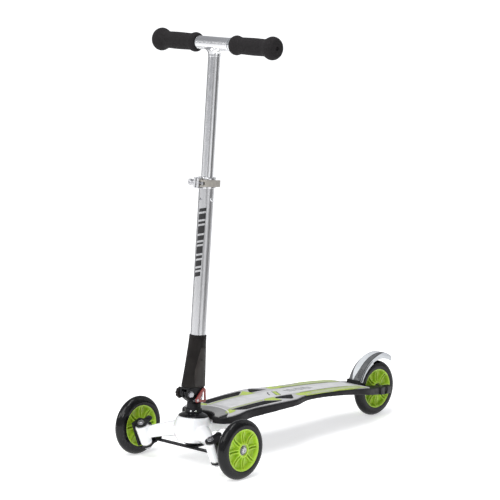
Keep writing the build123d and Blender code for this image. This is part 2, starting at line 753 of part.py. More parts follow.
with BuildPart() as hinge_cover:
    add(cover_form(0))
    add(cover_form(2.2), mode=Mode.SUBTRACT)
    with BuildSketch(column(COVER_TOP - 6)):
        Circle(17)
        Circle(TUBE_R, mode=Mode.SUBTRACT)
    extrude(amount=6)
    with BuildSketch(column(COVER_LOW)):
        Circle(TUBE_R)
    extrude(amount=COVER_TOP, mode=Mode.SUBTRACT)
save(hinge_cover.part, "hinge_cover")

COLLAR_HALF = 11.0
EAR_U = -25.0
CLAMP_U = -26.0         # clamp bolt, ahead of the tube
with BuildPart() as collar_clamp:
    with BuildSketch(column(COLLAR_H - COLLAR_HALF)):
        Circle(19.3)
        with Locations((-4.2, EAR_U), (4.2, EAR_U)):
            RectangleRounded(6, 17, 1.5)
        Circle(TUBE_R, mode=Mode.SUBTRACT)
        with Locations((0, EAR_U)):
            Rectangle(2.4, 30, mode=Mode.SUBTRACT)
    extrude(amount=2 * COLLAR_HALF)
    with BuildSketch(column(TUBE_TOP)):
        Circle(17)
        Circle(POST_R + GAP, mode=Mode.SUBTRACT)
    extrude(amount=COLLAR_H + COLLAR_HALF - TUBE_TOP)
    with BuildSketch(side(-12)):
        with Locations((CLAMP_U, COLLAR_H)):
            Circle(2.5)
    extrude(amount=24, mode=Mode.SUBTRACT)
save(collar_clamp.part, "collar_clamp")

CLAMP_X = 12.4          # the clamp lever turns on the cross barrel at the end of its bolt
with BuildPart() as collar_bolt:
    with BuildSketch(side(-18)):
        with Locations((CLAMP_U, COLLAR_H)):
            Circle(2.5)
    extrude(amount=18 + CLAMP_X)
    with BuildSketch(column(COLLAR_H - 6.5)):
        with Locations((CLAMP_X, CLAMP_U)):
            Circle(2.7)
    extrude(amount=13)
    for start, radius, length in ((-13.4, 7.0, 6.2), (-19.8, 5.6, 6.4), (-24.5, 6.6, 4.7)):
        with BuildSketch(side(start)):
            with Locations((CLAMP_U, COLLAR_H)):
                Circle(radius)
        extrude(amount=length)
save(collar_bolt.part, "collar_bolt")

with BuildPart() as clamp_lever:
    with BuildSketch(column(COLLAR_H - 7)):
        with Locations((CLAMP_X, CLAMP_U)):
            Circle(4.8)
        with BuildLine():
            outside = Spline((13.5, CLAMP_U - 4.7), (19, -24), (23.5, -13), (26, 0), (26, 13))
            Polyline(outside @ 1, (22.6, 13.6), (22, 0), (18.5, -12), (13, -17.5), (9, -22), outside @ 0)
        make_face()
        with Locations((CLAMP_X, CLAMP_U)):
            Circle(2.7 + FIT, mode=Mode.SUBTRACT)
        Circle(19.3 + GAP, mode=Mode.SUBTRACT)
    extrude(amount=14)
    with BuildSketch(column(COLLAR_H - 3.3)):
        with Locations((CLAMP_X, CLAMP_U)):
            Circle(5.6)
    extrude(amount=6.6, mode=Mode.SUBTRACT)
save(clamp_lever.part, "clamp_lever")

with BuildPart() as top_bush:
    with BuildSketch(column(TUBE_TOP - 34)):
        Circle(TUBE_IN_R)
        Circle(POST_R + FIT, mode=Mode.SUBTRACT)
    extrude(amount=34)
save(top_bush.part, "top_bush")

with BuildPart() as guide_screw:
    front = Plane(origin=HEAD + Vector(0, s, c) * BUTTON_H, x_dir=(1, 0, 0), z_dir=(0, -c, s))
    with BuildSketch(front.offset(TUBE_R)):
        Circle(3.2)
    extrude(amount=1.6)
    with BuildSketch(front.offset(POST_R + 0.4)):
        Circle(2)
    extrude(amount=TUBE_R - POST_R - 0.4)
save(guide_screw.part, "guide_screw")

with BuildPart() as height_button:
    with BuildSketch(side(TUBE_IN_R + 0.2)):
        with Locations((0, BUTTON_H)):
            Circle(3.6 - FIT)
    extrude(amount=TUBE_R + 2.2 - TUBE_IN_R - 0.2)
    fillet(height_button.edges().group_by(Axis.X)[-1], 1.2)
save(height_button.part, "height_button")

# ---- sliding post, handlebar and grips ------------------------------------------------------
POST_LOW = 440.0
POST_SEAT = 12.4        # top of the post below the handlebar's middle
SOCKET = 27.0
with BuildPart() as upper_post:
    with BuildSketch(column(POST_LOW)):
        Circle(POST_R)
        Circle(POST_IN_R, mode=Mode.SUBTRACT)
    extrude(amount=BAR_H - POST_SEAT - POST_LOW)
    with BuildSketch(side(0)):
        with Locations((0, BUTTON_H)):
            Circle(3)
    extrude(amount=20, mode=Mode.SUBTRACT)
save(upper_post.part, "upper_post")

with BuildPart() as snap_spring:
    with BuildSketch(side(3.4)):
        with Locations((0, BUTTON_H)):
            Circle(3 - FIT)
    extrude(amount=POST_R + 0.2 - 3.4)
    with BuildSketch(Plane(origin=HEAD, x_dir=(1, 0, 0), z_dir=(0, c, -s)).offset(-4)):
        with BuildLine():
            Polyline((3.4, -BUTTON_H - 6), (3.4, -BUTTON_H + 30), (-9.6, -BUTTON_H + 4), (-9.6, -BUTTON_H),
                     (-8.4, -BUTTON_H), (2.2, -BUTTON_H + 22), (2.2, -BUTTON_H - 6), close=True)
        make_face()
    extrude(amount=8)
save(snap_spring.part, "snap_spring")

BAR_HALF = 46.0
with BuildPart() as crossbar:
    with BuildSketch(side(-BAR_HALF)):
        with Locations((0, BAR_H)):
            Circle(BAR_R)
    extrude(amount=2 * BAR_HALF)
    with BuildSketch(column(BAR_H - SOCKET)):
        Circle(POST_R + 2)
    extrude(amount=SOCKET)
    with BuildSketch(side(-BAR_HALF)):
        with Locations((0, BAR_H)):
            Circle(BAR_R - 2)
    extrude(amount=2 * BAR_HALF, mode=Mode.SUBTRACT)
    with BuildSketch(column(BAR_H - SOCKET)):
        Circle(POST_R)
    extrude(amount=SOCKET - POST_SEAT, mode=Mode.SUBTRACT)
save(crossbar.part, "crossbar")

GRIP_IN, GRIP_END = 47.0, 166.5
LEFT_SPACER = 6.0       # the left grip stands this much farther out
CORE_R = BAR_R - 2 - FIT


def make_handle(name, sign, shift):
    """Foam grip on the steel core that slides into the crossbar."""
    profile = [(GRIP_IN, 17.2), (54.7, 20.4), (68, 17.2), (100, 17.6), (132, 17.2), (146, 22.2), (156.5, 23.9),
               (GRIP_END - 1, 19.5), (GRIP_END, 16)]
    with BuildPart() as grip:
        bar_end = HEAD + Vector(0, s, c) * BAR_H
        with BuildSketch(Plane(origin=bar_end, x_dir=(sign, 0, 0), z_dir=(0, -c * sign, s * sign))):
            with BuildLine():
                skin = Spline(*[(x + shift, r) for x, r in profile])
                end = GRIP_END + shift
                Polyline(skin @ 1, (end, 0), (end - 4, 0), (end - 4, CORE_R), (GRIP_IN + shift, CORE_R), skin @ 0)
            make_face()
        revolve(axis=Axis(HEAD + Vector(0, s, c) * BAR_H, (1, 0, 0)))
    save(grip.part, f"{name}_grip")
    with BuildPart() as core:
        with BuildSketch(side(sign * 14)):
            with Locations((0, BAR_H)):
                Circle(CORE_R)
                Circle(CORE_R - 1.5, mode=Mode.SUBTRACT)
        extrude(amount=sign * (GRIP_END + shift - 4 - 14))
    save(core.part, f"{name}_grip_core")


for side_name, side_sign in (("left", 1), ("right", -1)):
    make_handle(side_name, side_sign, LEFT_SPACER if side_sign > 0 else 0.0)

# ---- rear axle, fender brake ----------------------------------------------------------------
with BuildPart() as rear_axle:
    with BuildSketch(across(-27.5, REAR_Y, WHEEL_R)):
        Circle(AXLE_R)
    extrude(amount=49.5)
    with BuildSketch(across(22, REAR_Y, WHEEL_R)):
        RegularPolygon(7, 6)
    extrude(amount=4.5)
    add(rod(across(-22, REAR_Y, WHEEL_R), 7, -5, AXLE_R))
save(rear_axle.part, "rear_axle")

with BuildPart() as rear_spacers:
    for start in (BEARING_OUT + GAP, -SLOT_HALF):
        add(rod(across(start, REAR_Y, WHEEL_R), 6, SLOT_HALF - BEARING_OUT - GAP, AXLE_R))
save(rear_spacers.part, "rear_spacers")

HINGE_Y, HINGE_Z = 231.5, 77.0
fender_axis = Axis((0, FENDER_Y, FENDER_Z), (-1, 0, 0))


def fender_ring(profile, first, last):
    """Revolve an (x, radius) outline about the fender's centre between two angles from straight up."""
    start = Plane(origin=(0, FENDER_Y, FENDER_Z), x_dir=(1, 0, 0), z_dir=(0, -1, 0))
    start = start.rotated((-first, 0, 0))
    with BuildPart() as ring:
        with BuildSketch(start):
            with BuildLine():
                Polyline(*profile, close=True)
            make_face()
        revolve(axis=fender_axis, revolution_arc=last - first)
    return ring.part


ARCH = [(-FENDER_HALF, 68), (-FENDER_HALF, 74.5), (-8, FENDER_R), (8, FENDER_R), (FENDER_HALF, 74.5),
        (FENDER_HALF, 68),
        (15.4, 68), (15.4, 73.2), (7.2, 79.4), (-7.2, 79.4), (-15.4, 73.2), (-15.4, 68)]
SKIRT_R = 65.0          # the side skirts reach lower near the hinge
with BuildPart() as rear_fender:
    add(fender_ring(ARCH, -70, 36))
    for inner, outer in ((15.4, FENDER_HALF), (-FENDER_HALF, -15.4)):
        add(fender_ring([(inner, SKIRT_R), (inner, 70), (outer, 70), (outer, SKIRT_R)], -70, -22))
    with BuildSketch(across(-15, HINGE_Y, HINGE_Z)):
        Circle(6)
        with Locations((-1, 8)):
            Rectangle(9, 16)
    extrude(amount=30)
    with BuildSketch(across(-8, HINGE_Y, HINGE_Z)):
        Circle(7.5)
    extrude(amount=16, mode=Mode.SUBTRACT)
    with BuildSketch(across(-20, HINGE_Y, HINGE_Z)):
        Circle(2.5 + FIT)
    extrude(amount=40, mode=Mode.SUBTRACT)
    with BuildSketch(Plane.XY.offset(60)):
        with Locations((0, FENDER_Y - 15)):
            RectangleRounded(2 * FENDER_HALF + 0.2, 125, 15)
        with Locations((0, FENDER_Y - 60)):
            Rectangle(2 * FENDER_HALF + 0.2, 80)
    extrude(amount=100, mode=Mode.INTERSECT)
save(rear_fender.part, "rear_fender")

with BuildPart() as brake_pad:
    add(fender_ring([(-10, 70), (-10, 79.2), (10, 79.2), (10, 70)], -8, 22))
    add(rear_fender.part, mode=Mode.SUBTRACT)
save(brake_pad.part, "brake_pad")

with BuildPart() as fender_pin:
    with BuildSketch(across(-26, HINGE_Y, HINGE_Z)):
        Circle(2.5)
    extrude(amount=52)
save(fender_pin.part, "fender_pin")

with BuildPart() as fender_spring:
    with BuildSketch(across(-6.5, HINGE_Y, HINGE_Z)):
        Circle(5)
        Circle(3.2, mode=Mode.SUBTRACT)
    extrude(amount=13)
save(fender_spring.part, "fender_spring")
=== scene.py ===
"""Folding three-wheel kick scooter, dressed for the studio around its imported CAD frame."""
import math

import bmesh
import bpy
from bpy.props import FloatProperty, FloatVectorProperty, PointerProperty
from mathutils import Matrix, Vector
from mathutils.bvhtree import BVHTree


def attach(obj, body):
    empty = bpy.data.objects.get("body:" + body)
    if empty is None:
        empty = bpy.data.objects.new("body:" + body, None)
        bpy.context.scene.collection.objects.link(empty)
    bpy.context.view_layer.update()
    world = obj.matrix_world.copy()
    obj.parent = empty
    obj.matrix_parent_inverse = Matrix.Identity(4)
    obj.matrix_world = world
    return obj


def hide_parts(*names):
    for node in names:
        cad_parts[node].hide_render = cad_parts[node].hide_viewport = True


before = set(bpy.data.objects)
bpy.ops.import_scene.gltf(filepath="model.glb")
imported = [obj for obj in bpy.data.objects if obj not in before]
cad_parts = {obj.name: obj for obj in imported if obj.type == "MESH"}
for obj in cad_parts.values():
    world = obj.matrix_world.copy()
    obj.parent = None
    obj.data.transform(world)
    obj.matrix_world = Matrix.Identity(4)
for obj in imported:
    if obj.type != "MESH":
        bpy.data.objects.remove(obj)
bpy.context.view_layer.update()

bl_info = {
    "name": "Kick scooter builder",
    "version": (1, 0, 0),
    "blender": (4, 5, 0),
    "location": "View3D > Sidebar > Scooter",
    "description": "Builds the wheels, deck, steering column and studio of a three-wheel kick scooter",
    "category": "Add Mesh",
}

MM = 0.001
FULL_TURN = 2 * math.pi
STEEL_SLOT, SEAL_SLOT = 0, 1

# ---- the column's own axes, in millimetres ------------------------------------------------
RAKE = math.radians(5.1)
HEAD = Vector((0, -287.45, 62.5))
LEFT = Vector((1, 0, 0))
UP = Vector((0, math.sin(RAKE), math.cos(RAKE)))
BACK = Vector((0, math.cos(RAKE), -math.sin(RAKE)))
LEAN = math.radians(20)
KING_UP = Vector((0, -math.sin(LEAN), math.cos(LEAN)))
KING_BACK = Vector((0, math.cos(LEAN), math.sin(LEAN)))

WHEEL_R = 62.5
RIM_R = 44.0
SPOKES = 8
WHEELS = {
    "left_front": (Vector((148.8, -299.7, WHEEL_R)), "left_wheel"),
    "right_front": (Vector((-148.8, -299.7, WHEEL_R)), "right_wheel"),
    "rear": (Vector((0, 299.7, WHEEL_R)), "back_wheel"),
}
BAR_H = 815.6
COLLAR_H = 530.0
BUTTON_H = 496.0
COVER_FOOT, COVER_TOP = 105.3, 214.0
KING_FOOT = (101.0, -327.5, 55.5)
ARM = 23.3
FENDER_CENTRE = Vector((0, 303.0, 62.5))
FENDER_HINGE = Vector((0, 231.5, 77.0))


def on_column(x, u, h):
    """Point given across, behind and up the steering column."""
    return HEAD + LEFT * x + BACK * u + UP * h


def at_kingpin(side, x, a, h):
    """Point given from one kingpin: outward, back along the steering arm, and up the pin."""
    return Vector(KING_FOOT) * Vector((side, 1, 1)) + LEFT * (side * x) + KING_BACK * a + KING_UP * h


# ---- finishes -----------------------------------------------------------------------------
class Finish:
    """One node material built up from a colour, a speckle, a roughness range and a relief."""

    def __init__(self, name, colour, rough, metal=0.0):
        self.material = bpy.data.materials.new(name)
        self.material.use_nodes = True
        self.tree = self.material.node_tree
        self.shader = self.tree.nodes["Principled BSDF"]
        self.shader.inputs["Metallic"].default_value = metal
        self.colour = (*colour, 1.0)
        self.shader.inputs["Base Color"].default_value = self.colour
        self.shader.inputs["Roughness"].default_value = rough
        self.coords = self.node("ShaderNodeTexCoord").outputs["Object"]
        self.relief = None

    def node(self, kind, **values):
        made = self.tree.nodes.new(kind)
        for key, value in values.items():
            setattr(made, key, value)
        return made

    def link(self, source, target):
        self.tree.links.new(source, target)

    def set(self, **sockets):
        for key, value in sockets.items():
            self.shader.inputs[key.replace("_", " ")].default_value = value
        return self

    def stretched(self, scale, turn=(0, 0, 0)):
        mapping = self.node("ShaderNodeMapping")
        mapping.inputs["Scale"].default_value = scale
        mapping.inputs["Rotation"].default_value = turn
        self.link(self.coords, mapping.inputs["Vector"])
        return mapping.outputs["Vector"]

    def noise(self, size_mm, detail=3.0, stretch=(1, 1, 1), turn=(0, 0, 0)):
        made = self.node("ShaderNodeTexNoise")
        made.inputs["Scale"].default_value = 1 / (size_mm * MM)
        made.inputs["Detail"].default_value = detail
        self.link(self.stretched(stretch, turn), made.inputs["Vector"])
        return made.outputs["Fac"]

    def cells(self, size_mm, feature="F1", stretch=(1, 1, 1)):
        made = self.node("ShaderNodeTexVoronoi", feature=feature)
        made.inputs["Scale"].default_value = 1 / (size_mm * MM)
        self.link(self.stretched(stretch), made.inputs["Vector"])
        return made.outputs["Distance"]

    def ribs(self, pitch_mm, direction="X", turn=(0, 0, 0), profile="SIN"):
        made = self.node("ShaderNodeTexWave", bands_direction=direction, wave_profile=profile)
        made.inputs["Scale"].default_value = FULL_TURN / (20 * pitch_mm * MM)
        self.link(self.stretched((1, 1, 1), turn), made.inputs["Vector"])
        return made.outputs["Fac"]

    def ranged(self, source, low, high, start=0.3, end=0.7):
        made = self.node("ShaderNodeMapRange")
        made.inputs["From Min"].default_value = start
        made.inputs["From Max"].default_value = end
        made.inputs["To Min"].default_value = low
        made.inputs["To Max"].default_value = high
        self.link(source, made.inputs["Value"])
        return made.outputs["Result"]

    def worn(self, source, low, high):
        """Roughness follows a pattern between two values."""
        self.link(self.ranged(source, low, high), self.shader.inputs["Roughness"])
        return self

    def mottled(self, source, other, start=0.35, end=0.65):
        """Base colour drifts towards another colour where the pattern is strong."""
        mix = self.node("ShaderNodeMix", data_type="RGBA")
        held = self.shader.inputs["Base Color"]
        if held.is_linked:
            self.link(held.links[0].from_socket, mix.inputs["A"])
        else:
            mix.inputs["A"].default_value = self.colour
        mix.inputs["B"].default_value = (*other, 1.0)
        self.link(self.ranged(source, 0, 1, start, end), mix.inputs["Factor"])
        self.link(mix.outputs["Result"], held)
        return self

    def embossed(self, source, depth_mm, strength=1.0, invert=False):
        """Adds a relief; several calls stack up."""
        bump = self.node("ShaderNodeBump", invert=invert)
        bump.inputs["Strength"].default_value = strength
        bump.inputs["Distance"].default_value = depth_mm * MM
        self.link(source, bump.inputs["Height"])
        if self.relief is not None:
            self.link(self.relief, bump.inputs["Normal"])
        self.relief = bump.outputs["Normal"]
        self.link(self.relief, self.shader.inputs["Normal"])
        return self


def tinted(colour, factor):
    return tuple(min(1.0, channel * factor) for channel in colour)


FINISHES = {}


def make_finishes(colours):
    """Every finish on the scooter, from the colours the user chose."""
    made = {}

    tyre = Finish("tyre_rubber", colours.tyre, 0.3)
    tyre.set(Coat_Weight=0.4, Coat_Roughness=0.04, Specular_IOR_Level=0.05)
    tyre.worn(tyre.noise(9, 4), 0.22, 0.42).mottled(tyre.noise(26), tinted(colours.tyre, 1.7))
    made["tyre"] = tyre.embossed(tyre.noise(0.7, 2), 0.02)

    lime = Finish("lime_nylon", colours.lime, 0.34)
    lime.set(Coat_Weight=0.25, Coat_Roughness=0.2, Subsurface_Weight=0.04)
    lime.worn(lime.noise(6), 0.28, 0.44).mottled(lime.noise(30), tinted(colours.lime, 0.82))
    made["lime"] = lime.embossed(lime.noise(0.5, 2), 0.015)

    white = Finish("white_nylon", colours.white, 0.16)
    white.set(Coat_Weight=0.8, Coat_Roughness=0.05, Subsurface_Weight=0.03)
    white.worn(white.noise(14), 0.12, 0.22).mottled(white.noise(40), tinted(colours.white, 0.95))
    made["white"] = white.embossed(white.noise(7, 1), 0.02)

    silver = Finish("anodised_tube", colours.silver, 0.25, 1.0)
    brushed = silver.noise(1.2, 4, (1, 1, 0.012), (RAKE, 0, 0))
    silver.worn(brushed, 0.14, 0.26).mottled(silver.noise(60, 2, (1, 1, 0.25)), tinted(colours.silver, 0.9))
    made["silver"] = silver.embossed(brushed, 0.004)

    tube = Finish("satin_tube", tinted(colours.silver, 0.82), 0.3, 1.0)
    drawn = tube.noise(1.4, 4, (1, 1, 0.012), (RAKE, 0, 0))
    tube.worn(drawn, 0.24, 0.38).mottled(tube.noise(55, 2, (1, 1, 0.25)), tinted(colours.silver, 0.72))
    made["tube"] = tube.embossed(drawn, 0.004)

    bright = Finish("polished_clamp", tinted(colours.silver, 1.05), 0.16, 1.0)
    bright.worn(bright.noise(4), 0.1, 0.26)
    made["bright"] = bright.embossed(bright.noise(0.8), 0.006)

    chrome = Finish("chrome_plate", (0.86, 0.87, 0.88), 0.07, 1.0)
    made["chrome"] = chrome.worn(chrome.noise(3), 0.05, 0.12).embossed(chrome.noise(2), 0.002)

    steel = Finish("zinc_steel", (0.52, 0.52, 0.53), 0.3, 1.0)
    steel.worn(steel.noise(2.5), 0.2, 0.42).mottled(steel.noise(5), (0.4, 0.4, 0.42))
    made["steel"] = steel.embossed(steel.noise(0.4, 2), 0.008)

    satin = Finish("black_coated_metal", (0.009, 0.009, 0.01), 0.4)
    satin.set(Coat_Weight=0.1, Coat_Roughness=0.12, Specular_IOR_Level=0.1)
    satin.worn(satin.noise(5), 0.32, 0.5).mottled(satin.noise(18), (0.018, 0.018, 0.02))
    made["satin"] = satin.embossed(satin.cells(0.8), 0.02)

    shell = Finish("black_cover_plastic", (0.009, 0.0075, 0.007), 0.34)
    shell.set(Specular_IOR_Level=0.12, Coat_Weight=0.08, Coat_Roughness=0.1)
    shell.worn(shell.noise(8), 0.32, 0.48).mottled(shell.noise(30), (0.016, 0.014, 0.013))
    made["shell"] = shell.embossed(shell.cells(0.6), 0.015)

    panel = Finish("cover_panel", (0.026, 0.022, 0.02), 0.36)
    panel.set(Specular_IOR_Level=0.2, Coat_Weight=0.06, Coat_Roughness=0.15)
    panel.mottled(panel.noise(20), (0.038, 0.033, 0.03)).worn(panel.noise(6), 0.28, 0.44)
    made["panel"] = panel.embossed(panel.cells(0.6), 0.012)

    gloss = Finish("gloss_black", (0.008, 0.008, 0.009), 0.14)
    gloss.set(Coat_Weight=0.25, Coat_Roughness=0.04, Specular_IOR_Level=0.1)
    made["gloss"] = gloss.worn(gloss.noise(10), 0.1, 0.22).embossed(gloss.noise(3), 0.006)

    deck = Finish("deck_black", (0.01, 0.0095, 0.01), 0.46)
    deck.set(Specular_IOR_Level=0.14)
    deck.worn(deck.noise(12), 0.38, 0.56).mottled(deck.noise(45), (0.02, 0.019, 0.021))
    made["deck"] = deck.embossed(deck.cells(0.9), 0.04)

    pad = Finish("grip_sheet", colours.pad, 0.5)
    lines = pad.ribs(3.2, "X")
    pad.mottled(lines, tinted(colours.pad, 0.8), 0.7, 0.95).mottled(pad.noise(35), tinted(colours.pad, 0.93))
    made["pad"] = pad.worn(pad.noise(6), 0.42, 0.6).embossed(lines, 0.12).embossed(pad.noise(0.6, 2), 0.03)

    nose = Finish("nose_grey", (0.32, 0.32, 0.31), 0.42)
    nose.mottled(nose.noise(22), (0.25, 0.25, 0.245)).worn(nose.noise(5), 0.36, 0.5)
    made["nose"] = nose.embossed(nose.ribs(2.4, "Y"), 0.1).embossed(nose.noise(0.7, 2), 0.03)

    insert = Finish("ribbed_rubber", (0.01, 0.01, 0.011), 0.6)
    insert.set(Specular_IOR_Level=0.1)
    insert.mottled(insert.noise(12), (0.028, 0.027, 0.028)).worn(insert.noise(4), 0.5, 0.72)
    made["insert"] = insert.embossed(insert.ribs(2.6, "DIAGONAL"), 0.35).embossed(insert.noise(0.5, 2), 0.05)

    inks = {"print_lime": colours.stripe, "print_white": (0.74, 0.74, 0.74), "print_bright": (0.93, 0.93, 0.93),
            "print_pale": (0.52, 0.58, 0.33), "print_grey": (0.07, 0.07, 0.075),
            "print_black": (0.012, 0.012, 0.013)}
    for key, colour in inks.items():
        ink = Finish(key, colour, 0.42)
        ink.mottled(ink.noise(18), tinted(colour, 0.88)).worn(ink.noise(5), 0.34, 0.52)
        made[key] = ink.embossed(ink.noise(0.6, 2), 0.02)

    foam = Finish("grip_foam", colours.grip, 0.82)
    foam.set(Sheen_Weight=0.02, Sheen_Roughness=0.5, Specular_IOR_Level=0.1)
    foam.mottled(foam.noise(2.2, 4), tinted(colours.grip, 1.7)).worn(foam.noise(3), 0.72, 0.92)
    made["foam"] = foam.embossed(foam.cells(0.9), 0.12, invert=True).embossed(foam.noise(0.5, 2), 0.08)

    red = Finish("red_lever_coat", colours.red, 0.34)
    red.set(Coat_Weight=0.5, Coat_Roughness=0.15)
    made["red"] = red.mottled(red.noise(5), tinted(colours.red, 0.7)).worn(red.noise(3), 0.26, 0.42) \
        .embossed(red.noise(1.0), 0.02)

    taupe = Finish("taupe_lever", (0.33, 0.31, 0.275), 0.4)
    made["taupe"] = taupe.mottled(taupe.noise(7), (0.27, 0.255, 0.23)).worn(taupe.noise(3), 0.32, 0.48) \
        .embossed(taupe.noise(0.5, 2), 0.02)

    fender = Finish("fender_silver", (0.66, 0.68, 0.7), 0.3)
    fender.set(Coat_Weight=0.4, Coat_Roughness=0.12)
    made["fender"] = fender.mottled(fender.noise(30), (0.58, 0.6, 0.62)).worn(fender.noise(6), 0.24, 0.36) \
        .embossed(fender.noise(0.7, 2), 0.015)

    slate = Finish("fender_slate", (0.085, 0.088, 0.093), 0.42)
    slate.set(Specular_IOR_Level=0.3)
    slate.mottled(slate.noise(16), (0.13, 0.133, 0.138)).worn(slate.noise(5), 0.34, 0.52)
    made["slate"] = slate.embossed(slate.cells(1.1), 0.06)

    nylon = Finish("nylon_bush", (0.62, 0.62, 0.6), 0.5)
    made["nylon"] = nylon.mottled(nylon.noise(5), (0.54, 0.54, 0.52)).embossed(nylon.noise(0.6, 2), 0.02)

    seal = Finish("bearing_seal", (0.03, 0.03, 0.032), 0.5)
    made["seal"] = seal.mottled(seal.noise(3), (0.06, 0.06, 0.062)).embossed(seal.noise(0.5, 2), 0.02)
    FINISHES.update({key: finish.material for key, finish in made.items()})


# ---- mesh making ---------------------------------------------------------------------------
def publish(name, bm, finishes, body, replaces=(), crease=34.0):
    """Turns a bmesh drawn in millimetres into a smooth-shaded piece that rides on a body."""
    bmesh.ops.recalc_face_normals(bm, faces=bm.faces[:])
    bmesh.ops.scale(bm, vec=(MM, MM, MM), verts=bm.verts[:])
    mesh = bpy.data.meshes.new(name)
    bm.to_mesh(mesh)
    bm.free()
    for finish in (finishes,) if isinstance(finishes, str) else finishes:
        mesh.materials.append(FINISHES[finish])
    mesh.shade_smooth()
    mesh.set_sharp_from_angle(angle=math.radians(crease))
    piece = bpy.data.objects.new(name, mesh)
    bpy.context.scene.collection.objects.link(piece)
    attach(piece, body)
    if replaces:
        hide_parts(*replaces)
    return piece


def skin(bm, rings, closed=False, material=0):
    """Faces between rings of equal length; closed joins the last ring to the first, or else the ends are capped."""
    rows = [[bm.verts.new(point) for point in ring] for ring in rings]
    count = len(rows[0])
    for low, high in zip(rows, rows[1:] + rows[:1] if closed else rows[1:]):
        for i in range(count):
            j = (i + 1) % count
            bm.faces.new((low[i], low[j], high[j], high[i])).material_index = material
    if not closed:
        bm.faces.new(rows[0]).material_index = material
        bm.faces.new(list(reversed(rows[-1]))).material_index = material


def frame_of(axis):
    """Two unit vectors square to an axis."""
    axis = axis.normalized()
    helper = LEFT if abs(axis.dot(LEFT)) < 0.9 else Vector((0, 0, 1))
    first = (helper - axis * helper.dot(axis)).normalized()
    return first, axis.cross(first)


def turned(bm, origin, axis, profile, count, closed=False, material=0, shape=None):
    """Turns a profile of (along, radius) about an axis; shape(angle, along) may vary the radius."""
    axis = axis.normalized()
    first, second = frame_of(axis)
    rings = []
    for along, radius in profile:
        ring = []
        for i in range(count):
            angle = FULL_TURN * i / count
            r = radius * (shape(angle, along) if shape else 1.0)
            ring.append(origin + axis * along + (first * math.cos(angle) + second * math.sin(angle)) * r)
        rings.append(ring)
    skin(bm, rings, closed, material)


def curve(points, steps=6):
    """Smooth run of points through the given ones, with its end points kept."""
    path = [Vector(p) for p in points]
    path = [path[0] * 2 - path[1], *path, path[-1] * 2 - path[-2]]
    out = []
    for a, b, c, d in zip(path, path[1:], path[2:], path[3:]):
        for step in range(steps):
            t = step / steps
            out.append(0.5 * ((2 * b) + (c - a) * t + (2 * a - 5 * b + 4 * c - d) * t * t
                              + (3 * b - a - 3 * c + d) * t ** 3))
    out.append(path[-2])
    return [tuple(p) for p in out]


def hexagon(angle, _along=0.0):
    """Radius of a unit hexagon at an angle."""
    sixth = math.pi / 3
    return math.cos(sixth / 2) / math.cos((angle % sixth) - sixth / 2)


def hex_head(bm, base, axis, corner, height, socket=0.0):
    """Chamfered hexagon head or nut, with a dimple or an open thread mouth on top."""
    chamfer = min(0.16 * corner, 0.3 * height)
    turned(bm, base, axis, [(0, corner), (height - chamfer, corner)], 48, shape=hexagon)
    top = [(height - chamfer - 0.02, corner * 0.97), (height, corner * 0.84), (height, corner * 0.55)]
    top += [(height, socket), (height - socket, socket * 0.96)] if socket else [(height - 0.3, corner * 0.5)]
    turned(bm, base, axis, top, 48)


def washer(bm, base, axis, radius, hole, thickness):
    """Flat ring with softened outer edges."""
    ring = [(0, hole), (0, radius - 0.25), (0.25, radius), (thickness - 0.25, radius),
            (thickness, radius - 0.25), (thickness, hole)]
    turned(bm, base, axis, ring, 48, closed=True)


def shank(bm, base, axis, radius, length):
    """Round bar with chamfered ends."""
    edge = min(0.4, radius * 0.15)
    profile = [(0, radius - edge), (edge, radius), (length - edge, radius), (length, radius - edge)]
    turned(bm, base, axis, profile, 32)


def dome_head(bm, base, axis, radius, height, socket):
    """Button head screw."""
    profile = [(0, radius)] + [(height * math.sin(t), radius * math.cos(t) * 0.98 + 0.02 * radius)
                               for t in (0.3, 0.6, 0.9, 1.15)]
    profile += [(height, socket + 0.3), (height, socket), (height * 0.35, socket * 0.95)]
    turned(bm, base, axis, profile, 32)


def bored(bm, base, axis, radius, length):
    """Drills a round hole into a mesh."""
    cutter = bmesh.new()
    turned(cutter, base, axis, [(0, radius), (length, radius)], 48)
    parts = []
    for source in (bm, cutter):
        bmesh.ops.recalc_face_normals(source, faces=source.faces[:])
        mesh = bpy.data.meshes.new("bench")
        source.to_mesh(mesh)
        part = bpy.data.objects.new("bench", mesh)
        bpy.context.scene.collection.objects.link(part)
        parts.append(part)
    cutter.free()
    blank, drill = parts
    cut = blank.modifiers.new("bore", "BOOLEAN")
    cut.operation = "DIFFERENCE"
    cut.solver = "EXACT"
    cut.object = drill
    graph = bpy.context.evaluated_depsgraph_get()
    bm.clear()
    bm.from_object(blank, graph)
    for part in parts:
        bpy.data.objects.remove(part)


def eased(piece, grain, rounds, finish):
    """Remeshes a piece evenly, then eases it along every edge and inner corner."""
    remesh = piece.modifiers.new("even", "REMESH")
    remesh.mode = "VOXEL"
    remesh.voxel_size = grain * MM
    ease = piece.modifiers.new("ease", "SMOOTH")
    ease.factor = 0.5
    ease.iterations = rounds
    graph = bpy.context.evaluated_depsgraph_get()
    mesh = bpy.data.meshes.new_from_object(piece.evaluated_get(graph), depsgraph=graph)
    piece.modifiers.clear()
    piece.data = mesh
    mesh.materials.clear()
    mesh.materials.append(finish)
    mesh.shade_smooth()


def cast(name, node, finish, body, grain, rounds):
    """Rounded casting made from a CAD node."""
    work = bpy.data.objects.new(name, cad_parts[node].data.copy())
    bpy.context.scene.collection.objects.link(work)
    eased(work, grain, rounds, FINISHES[finish])
    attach(work, body)
    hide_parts(node)
    return work


